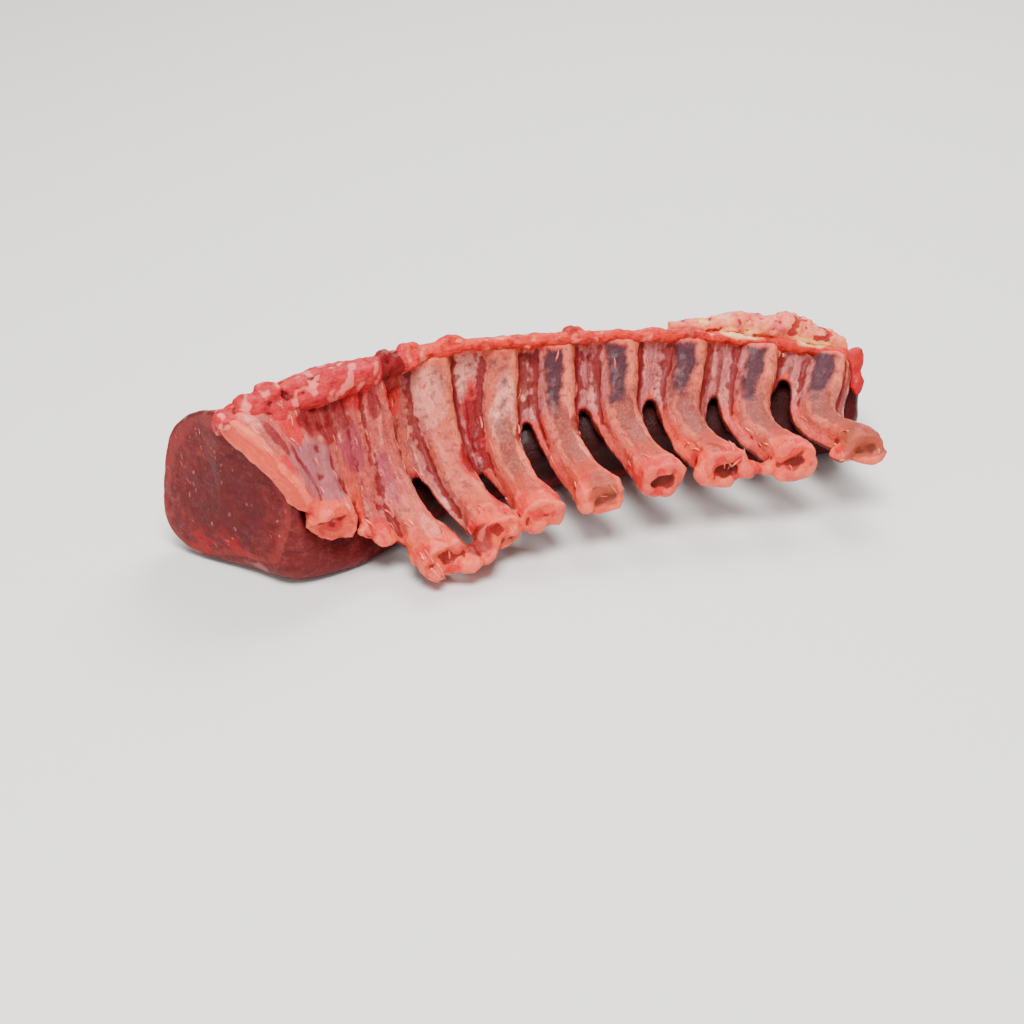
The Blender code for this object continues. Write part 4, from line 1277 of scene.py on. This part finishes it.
def scattered(name, surface, amount, way, tree, sizes, material):
    """The bits that a scatter tree leaves on a surface, as one piece."""
    bits = linked(name, surface.data.copy())
    store(bits, amount=amount, way=way)
    grown(bits, tree, sizes, material).data.shade_smooth()
    triangles = sum(len(face.vertices) - 2 for face in bits.data.polygons)
    print(name, triangles, "triangles")
    return bits


# %% Threads on the rib wall
scatter_sizes = {"Density": 1.0, "Length": 1.0, "Thickness": 1.0, "Seed": 1}
# Wet and half clear, so threads stand out as pale salmon lines with a small gleam.
sinew_material = painted("sinew and membrane", "#e8604c", (
    ("#ffa08a", "coarse", 0.8), ("#a01418", "streaks", 0.8),
), (None, 1.2, 2), 3, 0.2, wetness=0.08)
wall_points = points_of(rib_wall)[0]
station, reach, height, _, beside, to_tip, to_gap = on_wall(wall_points)
down_rib = unit(wall(station, reach + 0.01)[0] - wall(station, reach - 0.01)[0])
clumps = steps(-0.1, 0.7, lumps(wall_points, 5, 23))
thread_amount = clumps * steps(-0.5, 1.5, height) * steps(0.03, 0.09, reach) * np.maximum.reduce([
    0.9 * steps(12, 3, to_tip), 0.9 * steps(6, 1, to_gap) * steps(0.9, 1.4, station),
    0.5 * steps(1.6, 0.9, station), 0.35 * steps(3.8, 6, np.abs(beside)),
    np.full(len(reach), 0.06)])
# Density is in copies for each square metre.
sinew = scattered(
    "sinew", rib_wall, thread_amount, down_rib,
    scatter_tree("Threads", scatter_sizes, thread_shape),
    {"Density": 130000.0, "Length": 4.6 * MM, "Thickness": 0.55 * MM, "Seed": 3}, sinew_material)

# %% Flecks of fat in the eye
# Marbling is fat that has lost its gleam in the meat around it: dull pink, hardly raised.
fleck_material = painted("fat in the lean", "#8c3c38", (
    ("#c07468", "coarse", 0.8), ("#74282a", "streaks", 0.5),
), (None, 1.2, 2), 3, 0.1)
loin_points = points_of(loin)[0]
fleck_amount = on_cut * steps(1.0, 0.85, to_rim) * (
    0.25 + 0.75 * steps(0.2, 0.6, lumps(loin_points, 9, 24)))
flecks = scattered(
    "marbling", loin, fleck_amount, np.tile([0.3, 0.4, 0.85], (len(loin_points), 1)),
    scatter_tree("Flecks", scatter_sizes, fleck_shape),
    {"Density": 90000.0, "Length": 1.9, "Thickness": 0.34 * MM, "Seed": 5}, fleck_material)

# %% [markdown]
# ## Stage
# A plain pale floor and soft light from above and behind, as in a small food studio.

# %% Camera, floor and light
LENS, SENSOR = 67.04, 36
CAMERA_PLACE, CAMERA_WAY = (-155.567, -504.018, 301.0), (0.2387, 0.8325, -0.5)
FLOOR_HALF = 3000
camera = linked("camera", bpy.data.cameras.new("camera"))
camera.data.lens, camera.data.sensor_width = LENS, SENSOR
camera.location = Vector(CAMERA_PLACE) * MM
camera.rotation_euler = Vector(CAMERA_WAY).to_track_quat("-Z", "Y").to_euler()
bpy.context.scene.camera = camera

floor = new_object("floor", [(x * FLOOR_HALF, y * FLOOR_HALF, 0) for x, y in (
    (-1, -1), (1, -1), (1, 1), (-1, 1))], [(0, 1, 2, 3)])
# Matt paper or paint: it takes soft shadows and mirrors nothing.
floor_material = bpy.data.materials.new("matt studio floor")
floor_material.use_nodes = True
floor_shader = floor_material.node_tree.nodes["Principled BSDF"]
floor_shader.inputs["Base Color"].default_value = linear("#e6e3df")
floor_shader.inputs["Roughness"].default_value = 0.9
floor.data.materials.append(floor_material)

# name, place and size in metres, power in watts. All of them aim at the rack's middle.
LIGHTS = (("window", (0.35, 0.55, 0.85), 0.6, 12), ("lamp above", (-0.15, -0.40, 0.95), 0.45, 20),
          ("front fill", (-0.9, -0.8, 0.35), 0.8, 4))
LIGHT_AIM = Vector((0, 0, 0.02))
for name, place, size, power in LIGHTS:
    lamp = linked(name, bpy.data.lights.new(name, "AREA"))
    lamp.data.size, lamp.data.energy = size, power
    lamp.location = place
    lamp.rotation_euler = (LIGHT_AIM - Vector(place)).to_track_quat("-Z", "Y").to_euler()
world = bpy.data.worlds.new("studio")
world.use_nodes = True
sky = world.node_tree.nodes["Background"].inputs
sky["Color"].default_value, sky["Strength"].default_value = linear("#f2f4f6"), 0.45
bpy.context.scene.world = world
print(len(LIGHTS), "lights, camera", round(camera.location.length, 2), "m from the middle")

# %% [markdown]
# ## Pieces and their solids
# Each piece names the body it moves with and the solids it stands for, which are hidden.

# %% Ride and replace
WALL_SOLIDS = ("rib_sheet", *[f"rib_{k}" for k in range(1, 10)], "tip_scrap_1", "tip_scrap_2")
for thing, slot, nodes in (
    (rib_wall, "rib_sheet", WALL_SOLIDS),
    (loin, "loin_eye", ("loin_eye",)),
    (edge_trim, "chine_strip", ("chine_strip",)),
    (fat_trim, "chine_fat", ("chine_fat",)),
    (sinew, "rib_sheet", ()),
    (flecks, "loin_eye", ()),
):
    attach(thing, "root")
    if nodes:
        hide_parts(*nodes)
    print(thing.name, "stands for", ", ".join(nodes) or "itself")
